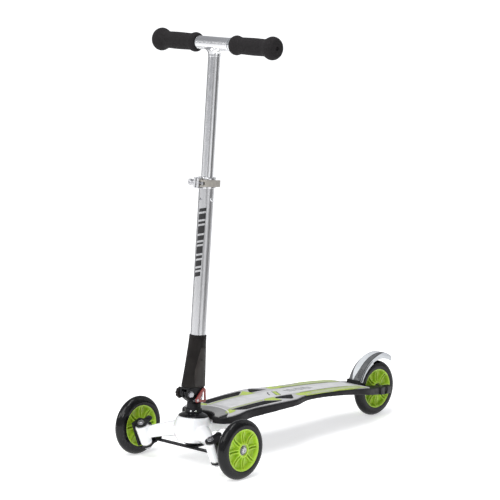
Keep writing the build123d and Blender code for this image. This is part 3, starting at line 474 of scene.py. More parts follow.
def carried(node, finish, bevel=0.0):
    """CAD node that stays, with its finish and softened edges."""
    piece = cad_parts[node]
    if not piece.data.materials:
        piece.data.materials.append(None)
    for i in range(len(piece.material_slots)):
        piece.material_slots[i].material = FINISHES[finish]
    if bevel:
        soft = piece.modifiers.new("soft edges", "BEVEL")
        soft.width = bevel * MM
        soft.segments = 2
        soft.limit_method = "ANGLE"
        soft.angle_limit = math.radians(40)
        soft.harden_normals = True
    return piece


def moulded(piece, grain, rounds):
    """Melts a piece's overlapping parts into one skin with rounded inner corners."""
    eased(piece, grain, rounds, piece.data.materials[0])


def surface_of(*pieces):
    """Search tree, in millimetres, of the surfaces that prints are laid on."""
    graph = bpy.context.evaluated_depsgraph_get()
    points, faces = [], []
    for piece in pieces:
        mesh = piece.evaluated_get(graph).data
        first = len(points)
        points += [vertex.co / MM for vertex in mesh.vertices]
        faces += [[first + i for i in face.vertices] for face in mesh.polygons]
    return BVHTree.FromPolygons(points, faces)


def draped(name, outlines, finish, body, tree, aim, lift=0.2, pitch=(9.0, 6.0)):
    """Flat outlines laid on a surface: aim gives the ray that carries each point onto it."""
    bm = bmesh.new()
    for outline in outlines:
        bm.faces.new([bm.verts.new((x, y, 0)) for x, y in outline])
    for axis, step in ((Vector((1, 0, 0)), pitch[0]), (Vector((0, 1, 0)), pitch[1])):
        reach = [v.co.dot(axis) for v in bm.verts]
        for k in range(math.floor(min(reach) / step) + 1, math.ceil(max(reach) / step)):
            bmesh.ops.bisect_plane(bm, geom=bm.verts[:] + bm.edges[:] + bm.faces[:],
                                   plane_co=axis * (k * step), plane_no=axis)
    for vertex in bm.verts:
        start, way = aim(vertex.co.x, vertex.co.y)
        hit = tree.ray_cast(start, way)[0]
        if hit is None:
            raise RuntimeError(f"{name}: the outline leaves its surface at {tuple(vertex.co)[:2]}")
        vertex.co = hit - way * lift
    piece = publish(name, bm, finish, body)
    film = piece.modifiers.new("film", "SOLIDIFY")
    film.thickness = 0.12 * MM
    film.offset = 0
    return piece


def both_sides(outline):
    """An outline and its mirror image."""
    return [outline, [(-x, y) for x, y in reversed(outline)]]


def ribbon(points, width):
    """Outline of a band of even width that follows a run of points."""
    path = [Vector((x, y, 0)) for x, y in points]
    left, right = [], []
    for i, point in enumerate(path):
        ahead = path[min(i + 1, len(path) - 1)] - path[max(i - 1, 0)]
        normal = Vector((-ahead.y, ahead.x, 0)).normalized() * (width / 2)
        left.append((point.x + normal.x, point.y + normal.y))
        right.append((point.x - normal.x, point.y - normal.y))
    return left + right[::-1]


# ---- wheels --------------------------------------------------------------------------------
def mirrored(half):
    """Profile (along, radius) closed symmetrically about the middle plane."""
    return half + [(-along, radius) for along, radius in reversed(half)]


def rib(bm, centre, way, side_offset, face, thickness):
    """One moulded spoke rib on one face of the hub web."""
    outline = [(13.4, 0.9), (13.4, 10.7), (16, 10.3), (20, 8.9), (25, 7.7), (30, 7.5), (35, 8.3), (39, 9.9),
               (41, 10.8), (42.6, 10.8), (42.6, 0.9)]
    across_way = LEFT.cross(way)
    sides = []
    for shift in (side_offset - thickness / 2, side_offset + thickness / 2):
        sides.append([centre + way * r + LEFT * (face * x) + across_way * shift for r, x in outline])
    skin(bm, sides)


def build_wheels(sizes):
    outer_race = [(0, 9.3), (0, 11), (6.5, 11), (6.9, 10.6), (6.9, 9.5), (6.6, 9.2)]
    inner_race = [(0, 4.1), (6.6, 4.1), (6.9, 4.4), (6.9, 5.4), (6.6, 5.7), (0, 5.7)]
    dust_seal = [(5.8, 5.6), (6.3, 5.9), (6.45, 6.6), (6.45, 8.6), (6.3, 9.2), (5.8, 9.35)]
    tyre_half = curve([(-10.9, 43.7), (-11.7, 45.2), (-11.75, 47.0)], 4)
    tyre_half += curve([(-11.95, 47.6), (-12.0, 51.0), (-11.2, 54.6), (-9.2, 57.9), (-6.2, 60.5), (-3.2, 61.9),
                        (0, 62.5)], 5)[:-1]
    hub_half = [(-11.2, 44), (-11.45, 43.2), (-11.3, 42.2), (-10.2, 41.0), (-6.5, 39.6), (-3.2, 38.8), (-1.7, 37.6),
                (-1.5, 36), (-1.5, 17.5), (-2.2, 16.2), (-4.5, 15.4), (-10.4, 14.8), (-11.3, 14.3), (-11.5, 13.4),
                (-11.45, 12.0), (-10.9, 11.2), (-8.4, 11.05), (-8.4, 9), (-1, 9)]
    rib_gap, rib_thick = sizes.rib_gap / MM, sizes.rib_thickness / MM
    for name, (centre, body) in WHEELS.items():
        bm = bmesh.new()
        turned(bm, centre, LEFT, mirrored(tyre_half) + [(10.9, 43.7)], 144, closed=True)
        publish(f"{name}_tread", bm, "tyre", body, (f"{name}_tyre",), 40)
        bm = bmesh.new()
        turned(bm, centre, LEFT, mirrored(hub_half), 128, closed=True)
        for k in range(SPOKES):
            angle = FULL_TURN * k / SPOKES
            way = Vector((0, math.cos(angle), math.sin(angle)))
            for face in (-1, 1):
                for side in (-1, 1):
                    rib(bm, centre, way, side * rib_gap / 2, face, rib_thick)
        hub = publish(f"{name}_wheel_hub", bm, "lime", body, (f"{name}_hub",), 40)
        moulded(hub, sizes.fine_grain / MM, 3)
        bm = bmesh.new()
        for face in (-1, 1):
            base = centre + LEFT * (face * 1.6)
            way = LEFT * face
            for section, part in ((outer_race, STEEL_SLOT), (inner_race, STEEL_SLOT), (dust_seal, SEAL_SLOT)):
                turned(bm, base, way, section, 64, closed=True, material=part)
        publish(f"{name}_bearing_pair", bm, ("steel", "seal"), body, (f"{name}_bearings",), 30)


# ---- front axle ----------------------------------------------------------------------------
def build_front_axle(sizes):
    coarse, fine = sizes.casting_grain / MM, sizes.fine_grain / MM
    cast("front_beam_casting", "front_beam", "white", "frame", coarse, 16)
    carried("headset_bearings", "steel")
    carried("kingpin_bushes", "nylon", 0.3)
    cast("tie_rod_bar", "tie_rod", "satin", "track_rod", fine, 5)
    for name, side in (("left", 1), ("right", -1)):
        body = f"{name}_steer"
        outward = LEFT * side
        cast(f"{name}_steering_knuckle", f"{name}_knuckle", "satin", body, fine, 6)
        bm = bmesh.new()
        shank(bm, at_kingpin(side, 0, 0, -34.5), KING_UP, 4.0, 62.0)
        washer(bm, at_kingpin(side, 0, 0, 27.5), KING_UP, 7.4, 3.9, 1.0)
        hex_head(bm, at_kingpin(side, 0, 0, 28.4), KING_UP, 6.4, 4.0, socket=2.4)
        washer(bm, at_kingpin(side, 0, 0, -27.5), -KING_UP, 8.2, 3.9, 1.0)
        hex_head(bm, at_kingpin(side, 0, 0, -28.5), -KING_UP, 7.2, 5.0, socket=4.05)
        publish(f"{name}_kingpin_bolt", bm, "steel", body, (f"{name}_kingpin",), 28)
        middle = WHEELS[f"{name}_front"][0]
        bm = bmesh.new()
        axle = Vector((0, middle.y, middle.z))
        shank(bm, axle + outward * 110.2, outward, 4.0, 47.6)
        washer(bm, axle + outward * 157.3, outward, 7.6, 3.9, 0.9)
        hex_head(bm, axle + outward * 158.1, outward, 6.3, 3.4, socket=2.6)
        hex_head(bm, axle + outward * 117.0, -outward, 7.0, 6.0, socket=4.05)
        publish(f"{name}_axle_bolt", bm, "steel", body, (f"{name}_stub_axle",), 28)
        bm = bmesh.new()
        low = at_kingpin(side, 0, ARM, -25.25)
        shank(bm, low - KING_UP * 8, KING_UP, 3.0, 17.0)
        hex_head(bm, low + KING_UP * 7.7, KING_UP, 5.2, 2.9, socket=3.05)
        hex_head(bm, low - KING_UP * 2.25, -KING_UP, 5.5, 4.3)
        shank(bm, at_kingpin(side, 0, ARM, 21.2), KING_UP, 3.0, 9.2)
        hex_head(bm, at_kingpin(side, 0, ARM, 27.5), KING_UP, 5.2, 2.6, socket=3.05)
        publish(f"{name}_tie_bolt", bm, "satin", body, (f"{name}_tie_pin",), 28)


# ---- neck and fold hinge ---------------------------------------------------------------------
def build_hinge(sizes):
    stop = (-24.7, 91.2)
    fine = sizes.fine_grain / MM
    carried("steerer_tube", "steel", 0.3)
    cast("column_steering_arm", "steering_arm", "satin", "steering", fine, 5)
    carried("steering_arm_pins", "steel", 0.3)
    cast("neck_casting", "lower_hinge", "satin", "steering", fine, 5)
    bm = bmesh.new()
    for turn_by in (-30.0, -64.0):
        angle = math.radians(turn_by)
        out = (LEFT * math.cos(angle) + BACK * math.sin(angle)).normalized()
        base = on_column(0, 0, 55.0) + out * 16.9
        dome_head(bm, base, out, 2.4, 2.4, socket=1.2)
    publish("neck_cap_screws", bm, "chrome", "steering", ("neck_screws",), 30)
    bm = bmesh.new()
    cone = curve([(43.2, 31.3), (44.6, 30.4), (46.2, 28.2), (47.8, 25.2), (49.0, 22.0), (50.2, 19.4),
                  (51.2, 17.6)], 4)
    turned(bm, HEAD, UP, cone + [(51.2, 14.7), (46.0, 14.7), (43.2, 27.0)], 96, closed=True)
    publish("neck_cone", bm, "gloss", "steering", ("cone_cover",), 30)
    carried("fold_pin", "steel", 0.4)

    carried("latch_shaft", "steel", 0.3)
    cast("fold_release_lever", "red_lever", "red", "fold_latch", 0.45, 5)

    cast("hinge_bracket", "upper_hinge", "satin", "column", fine, 6)
    bm = bmesh.new()
    washer(bm, on_column(12.9, *stop), LEFT, 6.4, 3.9, 1.0)
    hex_head(bm, on_column(13.8, *stop), LEFT, 5.6, 3.6)
    shank(bm, on_column(-23, *stop), LEFT, 4.0, 36.0)
    publish("hinge_cross_bolt", bm, "steel", "column", ("cross_bolt",), 28)
    bm = bmesh.new()
    knob = [(0, 8.5), (0.6, 10.2), (1.6, 11.2), (6.6, 11.4), (8.2, 10.6), (9.0, 8.8), (9.0, 5.2), (8.2, 4.06),
            (0, 4.06)]
    turned(bm, on_column(-22.2, *stop), LEFT, knob, 108, closed=True,
           shape=lambda angle, _along: 1 + 0.075 * math.cos(9 * angle))
    publish("hinge_tension_knob", bm, "shell", "hinge_knob", ("tension_knob",), 30)


# ---- column ----------------------------------------------------------------------------------
def cover_ring(h, inset, count=96, teeth=0.0):
    """Outline of the hinge cover at a height: a deep rounded box that turns round towards the top."""
    t = (h - COVER_FOOT) / (COVER_TOP - COVER_FOOT)
    half_x = 16.7 + 1.3 * t - inset
    half_u = 26.5 - 11.6 * t + 3.1 * t * t - inset
    centre = -5.6 + 8.0 * t - 2.4 * t * t
    power = 3.4 - 1.4 * min(1.0, t * 1.15)
    ring = []
    for i in range(count):
        angle = FULL_TURN * (i + 0.5) / count
        ca, sa = math.cos(angle), math.sin(angle)
        reach = (abs(ca) ** power + abs(sa) ** power) ** (-1 / power)
        dent = teeth if (i // 3) % 2 else 0.0
        ring.append(on_column((half_x - dent) * reach * ca, centre + (half_u - dent) * reach * sa, h))
    return ring


def tube_mark(bm, h0, h1, a0, a1, radius, slant):
    """Printed patch on a tube: between two heights and two angles, measured from the front to the left."""
    cols, rows = 9, max(2, int((h1 - h0) / 3))
    grid = []
    for r in range(rows + 1):
        row = []
        for k in range(cols + 1):
            angle = math.radians(a0 + (a1 - a0) * k / cols)
            h = h0 + (h1 - h0) * r / rows + slant * (k / cols - 0.5)
            row.append(bm.verts.new(on_column(radius * math.sin(angle), -radius * math.cos(angle), h)))
        grid.append(row)
    for low, high in zip(grid, grid[1:]):
        for k in range(cols):
            bm.faces.new((low[k], low[k + 1], high[k + 1], high[k]))


def build_column(sizes):
    fine = sizes.fine_grain / MM
    bm = bmesh.new()
    wall = [(105, 14.3), (105, 15.6), (105.3, 15.9)] + [(105.3 + k * 43.34, 15.9) for k in range(1, 10)] + \
        [(538.7, 15.9), (539, 15.6), (539, 14.3)]
    turned(bm, HEAD, UP, wall, 96, closed=True)
    bored(bm, on_column(8, 0, BUTTON_H), LEFT, 3.8, 12)
    publish("column_tube", bm, "tube", "column", ("lower_tube",), 30)

    bm = bmesh.new()
    rings = [cover_ring(105.4, 0.8), cover_ring(105.9, 0.25), cover_ring(107, 0)]
    rings += [cover_ring(107 + k * 9.8, 0) for k in range(1, 11)]
    rings += [cover_ring(205.6, 0, teeth=0.9), cover_ring(213.2, 0.05, teeth=0.9), cover_ring(213.8, 0.5, teeth=0.6),
              cover_ring(213.8, 1.5), cover_ring(209, 1.9)]
    skin(bm, rings)
    publish("hinge_sleeve", bm, "shell", "column", ("hinge_cover",), 32)
    tree = surface_of(bpy.data.objects["hinge_sleeve"])
    panel = [(-17, 107), (-20, 125), (-18.5, 142), (-14, 160), (-9, 180), (-5, 189), (3, 190), (8, 172), (11, 150),
             (13, 128), (12, 107)]
    for name, side in (("left", 1), ("right", -1)):
        draped(f"{name}_sleeve_panel", [panel], "panel", "column", tree,
               lambda u, h, side=side: (on_column(side * 60, u, h), LEFT * -side), 0.45, (4.0, 6.0))
    bm = bmesh.new()
    dome_head(bm, on_column(16.9, -2.6, 163), LEFT, 3.0, 1.3, socket=1.4)
    dome_head(bm, on_column(-16.9, -2.6, 163), -LEFT, 3.0, 1.3, socket=1.4)
    publish("sleeve_screws", bm, "gloss", "column", (), 30)

    cast("collar_ring", "collar_clamp", "bright", "column", fine, 4)
    bm = bmesh.new()
    middle = (-26.0, COLLAR_H)
    shank(bm, on_column(-18, *middle), LEFT, 2.5, 30)
    turned(bm, on_column(-24.5, *middle), LEFT,
           [(0, 4.6), (0.5, 6.0), (1.4, 6.6), (3.6, 6.6), (4.5, 6.1), (5.0, 5.4), (5.6, 5.2), (10.4, 5.2),
            (11.0, 6.2), (11.8, 7.0), (16.6, 7.0), (17.3, 6.4), (17.3, 2.6)], 64)
    turned(bm, on_column(12.4, -26.0, 523.6), UP, [(0, 2.3), (0.4, 2.7), (12.4, 2.7), (12.8, 2.3)], 40)
    publish("collar_clamp_bolt", bm, "steel", "column", ("collar_bolt",), 30)
    carried("top_bush", "nylon", 0.2)
    bm = bmesh.new()
    dome_head(bm, on_column(0, -15.7, BUTTON_H), -BACK, 3.2, 1.5, socket=1.3)
    shank(bm, on_column(0, -13.2, BUTTON_H), -BACK, 1.9, 2.8)
    publish("tube_guide_screw", bm, "steel", "column", ("guide_screw",), 30)

    cast("collar_quick_lever", "clamp_lever", "taupe", "collar_lever", 0.5, 6)
    bm = bmesh.new()
    turned(bm, on_column(14.5, 0, BUTTON_H), LEFT,
           [(0, 3.4), (0.1, 3.55), (2.2, 3.55), (2.9, 3.35), (3.35, 2.8), (3.6, 1.6), (3.6, 0.4)], 48)
    publish("height_lock_button", bm, "chrome", "button", ("height_button",), 30)

    bm = bmesh.new()
    start = 336.0
    for k, span in enumerate((9, 4, 12, 6, 15, 4, 10, 16, 5, 12, 7)):
        tube_mark(bm, start, start + span, -18 + k, 34 + 1.8 * k, 15.98, 4.0)
        start += span + 4.2
    publish("column_marks", bm, "print_black", "column", (), 30)


# ---- handlebar -------------------------------------------------------------------------------
def build_handlebar(sizes):
    bm = bmesh.new()
    post = [(440, 11.3), (440, 12.4), (440.3, 12.7)] + [(440 + k * 36, 12.7) for k in range(1, 10)] + \
        [(802.8, 12.7), (803.1, 12.4), (803.1, 11.3)]
    turned(bm, HEAD, UP, post, 96, closed=True)
    publish("sliding_post", bm, "silver", "handlebar", ("upper_post",), 30)
    carried("snap_spring", "steel", 0.1)

    bm = bmesh.new()
    cross = [(0, 12), (0.5, 13.6), (1, 14)] + [(k * 9.0, 14) for k in range(1, 10)]
    turned(bm, on_column(-45.9, 0, BAR_H), LEFT, cross + [(90.8, 14), (91.3, 13.6), (91.8, 12)], 96)
    levels = [(788.8, 12.8, 12.8), (789.2, 13.1, 13.1), (794, 13.2, 13.1), (797, 14.4, 13.5), (799.5, 17.0, 13.7),
              (802, 21.0, 13.8), (804.5, 26.0, 13.5), (807, 31.0, 12.4), (811, 33.0, 9.0)]
    rings = []
    for h, rx, ru in levels:
        rings.append([on_column(rx * math.cos(FULL_TURN * i / 72), ru * math.sin(FULL_TURN * i / 72), h)
                      for i in range(72)])
    skin(bm, rings)
    bar = publish("handlebar_tee", bm, "silver", "handlebar", ("crossbar",), 30)
    moulded(bar, 0.6, 6)
    bm = bmesh.new()
    turned(bm, on_column(42.6, 0, BAR_H), LEFT,
           [(0, 13.9), (0.1, 14.5), (0.5, 14.8), (2.9, 14.8), (3.3, 14.4), (3.5, 12.6), (5.0, 12.4), (5.2, 14.6),
            (5.7, 15.1), (9.0, 15.1), (9.5, 14.7), (9.7, 12.5)], 96)
    turned(bm, on_column(-43.6, 0, BAR_H), -LEFT, [(0, 13.9), (0.1, 14.2), (2.6, 14.2), (2.9, 13.0)], 96)
    publish("handlebar_end_rings", bm, "chrome", "handlebar", (), 30)

    bulb = sizes.grip_bulb / MM
    outer = curve([(46.8, 15.6), (47.3, 17.4), (50.2, 19.3), (54.8, 20.3), (59.5, 19.5), (65.5, 17.7), (73, 17.3),
                   (86, 17.6), (104, 17.9), (120, 17.7), (131, 17.5), (138, 18.6), (144.5, 21.6), (150, bulb - 0.3),
                   (154, bulb), (158.5, 23.0), (162.8, 20.8), (165.3, 18.4), (166.2, 15.6)], 4)
    end = [(166.45, 12.0), (166.45, 5.6), (165.4, 4.6), (163.0, 4.4), (163.0, 0.6)]
    for name, side, spacer in (("left", 1, 6.0), ("right", -1, 0.0)):
        bm = bmesh.new()
        turned(bm, on_column(side * spacer, 0, BAR_H), LEFT * side, [(46.8, 12.2)] + outer + end, 96)
        publish(f"{name}_foam_grip", bm, "foam", "handlebar", (f"{name}_grip",), 34)
        carried(f"{name}_grip_core", "chrome", 0.3)


# ---- deck ------------------------------------------------------------------------------------
def down(x, y):
    """Ray straight down onto the deck."""
    return Vector((x, y, 200)), Vector((0, 0, -1))


def build_deck(sizes):
    cast("deck_body", "deck_shell", "deck", "frame", sizes.casting_grain / MM, 4)
    pad = carried("grip_pad", "pad", 0.4)
    panel = carried("nose_panel", "nose", 0.4)
    inserts = carried("grip_inserts", "insert", 0.3)
    carried("deck_screws", "steel", 0.4)
    tree = surface_of(pad, panel, inserts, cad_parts["deck_shell"])
    lift = sizes.print_lift / MM

    def printed(name, outlines, finish, level=1):
        draped(name, outlines, finish, "frame", tree, down, lift * level)

    printed("deck_centre_field", [[(-24, -196), (24, -196), (27, -150), (24, -96), (26, -50), (26, 60), (22, 214),
                                   (-22, 214), (-26, 60), (-26, -50), (-24, -96), (-27, -150)]], "print_white")
    printed("deck_nose_lenses", both_sides([(32, -207), (30, -213), (37, -225), (45, -233), (52, -232), (53, -216),
                                            (46, -203)]), "print_lime", 2)
    printed("deck_front_lines", both_sides(ribbon([(29.0, -207), (30.8, -180), (31.8, -150), (31.8, -120),
                                                   (31.0, -104)], 2.8)), "print_lime", 2)
    printed("deck_side_triangles", both_sides([(36, -104), (46, -90), (58, -73), (47, -70), (35, -68), (27.5, -62),
                                               (26.5, -78), (26, -94)]), "print_lime", 2)
    printed("deck_rear_field", both_sides([(30, 20), (33, -8), (53, -8), (55, 30), (53.5, 100), (53.5, 170),
                                           (50, 214), (27, 214), (29, 120)]), "print_pale")
    printed("deck_rear_blobs", both_sides([(32, 2), (38, -6), (48, -7), (54.5, 4), (55, 22), (50, 33), (40, 40),
                                           (33, 34), (31, 18)]), "print_lime", 2)
    printed("deck_outer_lines", both_sides(ribbon([(53.2, 8), (53.2, 40), (52.6, 90), (52.8, 150), (51.5, 190),
                                                   (48, 214)], 5.6)), "print_lime", 3)
    printed("deck_inner_lines", both_sides(ribbon([(33.5, 24), (32.4, 60), (31.8, 120), (31.2, 170), (30.2, 214)],
                                                  3.8)), "print_lime", 3)
    printed("deck_dark_lines", both_sides(ribbon([(29.6, 16), (29.2, 60), (28.8, 120), (28.2, 176)], 1.5)),
            "print_black", 4)
    arc = [(74.2 * math.sin(a), -283.45 + 74.2 * math.cos(a)) for a in (k * 0.07 for k in range(-9, 10))]
    printed("deck_front_arc", [ribbon(arc, 2.4)], "print_bright", 3)
    slash = [(20.5, -42), (-13, -21.5)]
    printed("deck_slash_edge", [ribbon(slash, 11.4)], "print_black", 2)
    printed("deck_slash", [ribbon([(19.7, -41.5), (-12.2, -22)], 8.6)], "print_lime", 3)
    printed("deck_hook", [ribbon([(9, -58), (-4, -50), (-14, -40)], 2.6)], "print_black", 2)
    strokes = []
    for k, (y, half) in enumerate(((6, 11), (18, 12), (30, 9), (42, 12), (54, 10), (66, 12), (78, 8))):
        strokes.append([(-half, y - 3), (half - 3, y + 2), (half, y + 6), (-half + 3, y + 2)])
    printed("deck_strokes", strokes, "print_grey", 2)


# ---- rear wheel bay --------------------------------------------------------------------------
def towards_hub(x, angle):
    """Ray that runs in to the fender's centre, at an angle from straight up towards the back."""
    way = Vector((0, math.sin(math.radians(angle)), math.cos(math.radians(angle))))
    return FENDER_CENTRE + LEFT * x + way * 110, -way


def across_wheel(side):
    """Rays that run square on to one side of the fender, from a radius and an angle about its centre."""
    def aim(radius, angle):
        way = Vector((0, math.sin(math.radians(angle)), math.cos(math.radians(angle))))
        return FENDER_CENTRE + way * radius + LEFT * (40 * side), -LEFT * side
    return aim


def build_rear_brake(sizes):
    axle = WHEELS["rear"][0]
    arch = cast("fender_shell", "rear_fender", "fender", "brake", sizes.fender_grain / MM, 10)
    carried("brake_pad", "satin", 0.4)
    tree = surface_of(arch)
    crown = [(3.0, -64), (5.6, -58), (7.8, -50), (8.6, -40), (8.6, -24), (8.6, -10), (8.9, 3)]
    flank = [(16.6, -68.6), (16.8, -50), (16.6, -30), (15.2, -12), (13.0, 0), (9.6, 12)]
    draped("fender_side_panels", both_sides([(0.4, -68.6)] + flank + crown[::-1]), "slate", "brake", tree,
           towards_hub, 0.14, (1.0, 3.0))
    wall = [(74.0, -68.0), (74.0, -40), (73.8, -22), (72.4, -24), (70.6, -40), (69.6, -68.0)]
    for side, name in ((1, "left"), (-1, "right")):
        draped(f"fender_{name}_wall_panel", [wall], "slate", "brake", tree, across_wheel(side), 0.14, (1.0, 3.0))
    rims = [ribbon(crown + [(9.6, 13)], 0.7), ribbon(flank + [(8.9, 15)], 1.0)]
    draped("fender_panel_edges", [side for rim in rims for side in both_sides(rim)], "print_black", "brake", tree,
           towards_hub, 0.3, (1.0, 3.0))
    blocks = []
    for row in range(5):
        for column in range(2):
            x, angle = 10.0 + column * 2.9, -63 + row * 3.4
            blocks.append([(x, angle), (x + 2.0, angle), (x + 2.0, angle + 2.3), (x, angle + 2.3)])
    draped("fender_grip_blocks", [shape for block in blocks for shape in both_sides(block)], "print_grey", "brake",
           tree, towards_hub, 0.5, (2.0, 2.0))
    bm = bmesh.new()
    rings = []
    middle = [(6.6, 6.0), (-1.0, 15.4), (-4.4, 16.6), (-6.4, 15.6), (-6.6, 12.0), (-5.9, 8.0)]
    edge = [(6.8, 6.0), (3.5, 11.7), (-0.6, 13.0), (-3.0, 12.2), (-5.0, 9.6), (-5.2, 7.6)]
    for x, t, grow in ((-17.9, 1, -0.5), (-17.5, 1, 0), (-15.6, 0, 0), (15.6, 0, 0), (17.5, 1, 0), (17.9, 1, -0.5)):
        barrel = [math.radians(140 + 10 * k) for k in range(24)]
        ring = [(math.cos(a) * (6.5 + grow), math.sin(a) * (6.5 + grow)) for a in barrel]
        ring += [(y0 + (y1 - y0) * t, z0 + (z1 - z0) * t + grow) for (y0, z0), (y1, z1) in zip(middle, edge)]
        rings.append([FENDER_HINGE + Vector((x, y, z)) for y, z in ring])
    skin(bm, rings)
    publish("fender_hinge_shroud", bm, "deck", "brake", (), 30)
    carried("fender_pin", "steel", 0.4)
    carried("fender_spring", "steel", 0.2)
    carried("rear_spacers", "steel", 0.2)
    bm = bmesh.new()
    for side in (-1, 1):
        turned(bm, axle + LEFT * (side * 27.2), LEFT * side, [(0, 8.3), (4.6, 8.3), (5.0, 7.9), (5.1, 3.0)], 48)
    publish("rear_axle_caps", bm, "deck", "frame", (), 30)
    bm = bmesh.new()
    shank(bm, axle - LEFT * 27.3, LEFT, 4.0, 49.4)
    washer(bm, axle + LEFT * 22, LEFT, 8.2, 3.9, 0.8)
    hex_head(bm, axle + LEFT * 22.6, LEFT, 7.0, 3.9)
    hex_head(bm, axle - LEFT * 22, -LEFT, 7.0, 5.0, socket=4.05)
    publish("rear_axle_bolt", bm, "steel", "frame", ("rear_axle",), 28)


# ---- studio ----------------------------------------------------------------------------------
def area_light(name, place, aim_at, size, power):
    light = bpy.data.lights.new(name, "AREA")
    light.shape = "RECTANGLE"
    light.size, light.size_y = size
    light.energy = power
    lamp = bpy.data.objects.new(name, light)
    lamp.location = place
    lamp.rotation_euler = (Vector(aim_at) - Vector(place)).to_track_quat("-Z", "Y").to_euler()
    bpy.context.scene.collection.objects.link(lamp)


def reflecting_card(name, first, last, tone, radius=0.95, height=1.6, steps=8):
    """Curved sheet that only shows in the metal's reflections, between two angles about the scooter."""
    bm = bmesh.new()
    rings = []
    for z in (0.001, height):
        turns = (math.radians(first + (last - first) * k / steps) for k in range(steps + 1))
        rings.append([bm.verts.new((radius * math.sin(turn), -radius * math.cos(turn), z)) for turn in turns])
    for k in range(steps):
        bm.faces.new((rings[0][k], rings[0][k + 1], rings[1][k + 1], rings[1][k]))
    mesh = bpy.data.meshes.new(name)
    bm.to_mesh(mesh)
    bm.free()
    card = bpy.data.objects.new(name, mesh)
    bpy.context.scene.collection.objects.link(card)
    cloth = Finish(name, (tone, tone, tone), 0.9)
    cloth.mottled(cloth.noise(200), (tone * 1.2,) * 3)
    mesh.materials.append(cloth.material)
    card.visible_camera = False
    card.visible_shadow = False
    card.visible_diffuse = False


def build_studio(sizes, colours):
    scene = bpy.context.scene
    half = sizes.floor_width / 2
    mesh = bpy.data.meshes.new("studio_floor")
    bm = bmesh.new()
    bmesh.ops.create_grid(bm, x_segments=8, y_segments=8, size=half)
    bm.to_mesh(mesh)
    bm.free()
    floor = bpy.data.objects.new("studio_floor", mesh)
    scene.collection.objects.link(floor)
    paper = Finish("studio_paper", colours.floor, 0.9)
    paper.set(Emission_Color=(1.0, 1.0, 1.0, 1.0), Emission_Strength=0.5)
    paper.mottled(paper.noise(900, 2), tinted(colours.floor, 0.99)).worn(paper.noise(60), 0.85, 0.95)
    mesh.materials.append(paper.material)

    for name, first, last, tone in (("right_card", 82, 130, 0.16), ("far_right_card", 130, 176, 0.45),
                                    ("middle_card", 30, 48, 0.3), ("left_card", -114, -58, 0.3)):
        reflecting_card(name, first, last, tone)

    sun = bpy.data.lights.new("key_sun", "SUN")
    sun.energy = sizes.sun_strength
    sun.angle = math.radians(40)
    lamp = bpy.data.objects.new("key_sun", sun)
    lamp.rotation_euler = (math.radians(38), 0, math.radians(12))
    scene.collection.objects.link(lamp)
    area_light("left_softbox", (2.0, -2.3, 2.0), (0, 0, 0.4), (0.3, 1.0), 16)
    area_light("right_softbox", (-1.5, -2.5, 1.7), (0, 0, 0.4), (0.3, 1.0), 13)
    area_light("top_softbox", (0.2, -0.2, 2.4), (0, 0, 0), (0.6, 1.6), 16)

    world = bpy.data.worlds.new("studio_air")
    world.use_nodes = True
    backdrop = world.node_tree.nodes["Background"]
    backdrop.inputs["Color"].default_value = (0.93, 0.95, 1.0, 1.0)
    backdrop.inputs["Strength"].default_value = 0.42
    scene.world = world
    scene.view_settings.view_transform = "Standard"

    lens = bpy.data.cameras.new("studio_camera")
    lens.lens = 170.1
    lens.sensor_width = 36.0
    lens.clip_end = 500
    lens.clip_start = 0.05
    camera = bpy.data.objects.new("studio_camera", lens)
    camera.location = (3.34446, -3.69818, 1.31216)
    azimuth, elevation = math.radians(42.99), math.radians(10.17)
    back = Vector((math.sin(azimuth) * math.cos(elevation), -math.cos(azimuth) * math.cos(elevation),
                   math.sin(elevation)))
    camera.rotation_euler = back.to_track_quat("Z", "Y").to_euler()
    scene.collection.objects.link(camera)
    scene.camera = camera


# ---- the add-on ------------------------------------------------------------------------------
def length(title, note, value, low, high):
    return FloatProperty(name=title, description=note, default=value, min=low, max=high, unit="LENGTH", precision=5)


def colour(title, note, value):
    return FloatVectorProperty(name=title, description=note, default=value, min=0.0, max=1.0, size=3, subtype="COLOR")


class ScooterSizes(bpy.types.PropertyGroup):
    rib_gap: length("Rib gap", "Distance between the middles of a spoke's two ribs", 0.0062, 0.004, 0.009)
    rib_thickness: length("Rib thickness", "Thickness of each spoke rib", 0.0022, 0.0015, 0.003)
    grip_bulb: length("Grip bulb", "Radius of the bulb at the outer end of each grip", 0.0239, 0.018, 0.0239)
    casting_grain: length("Casting grain", "Mesh pitch of the large rounded castings", 0.0014, 0.001, 0.004)
    fine_grain: length("Fine grain", "Mesh pitch of the small rounded castings", 0.00055, 0.0004, 0.002)
    fender_grain: length("Fender grain", "Mesh pitch of the rounded fender", 0.00075, 0.0005, 0.002)
    print_lift: length("Print lift", "How far each printed layer stands off the deck", 0.00012, 0.00005, 0.0005)
    floor_width: length("Floor width", "Width of the studio floor", 120.0, 60.0, 400.0)
    sun_strength: FloatProperty(name="Sun strength", description="Strength of the soft key light", default=1.3,
                                min=0.0, max=10.0, subtype="FACTOR")


class ScooterColours(bpy.types.PropertyGroup):
    tyre: colour("Tyre", "Colour of the three tyres", (0.0055, 0.0055, 0.006))
    lime: colour("Lime", "Colour of the wheel hubs", (0.42, 0.64, 0.036))
    stripe: colour("Stripe", "Colour of the deck's printed stripes", (0.52, 0.66, 0.12))
    white: colour("White", "Colour of the front beam", (0.86, 0.86, 0.87))
    silver: colour("Silver", "Colour of the column and the handlebar", (0.78, 0.78, 0.79))
    pad: colour("Pad", "Colour of the deck's grip pad", (0.58, 0.575, 0.58))
    grip: colour("Grip", "Colour of the foam grips", (0.013, 0.012, 0.0125))
    red: colour("Red", "Colour of the fold release lever", (0.32, 0.04, 0.035))
    floor: colour("Floor", "Colour of the studio floor", (0.93, 0.93, 0.93))


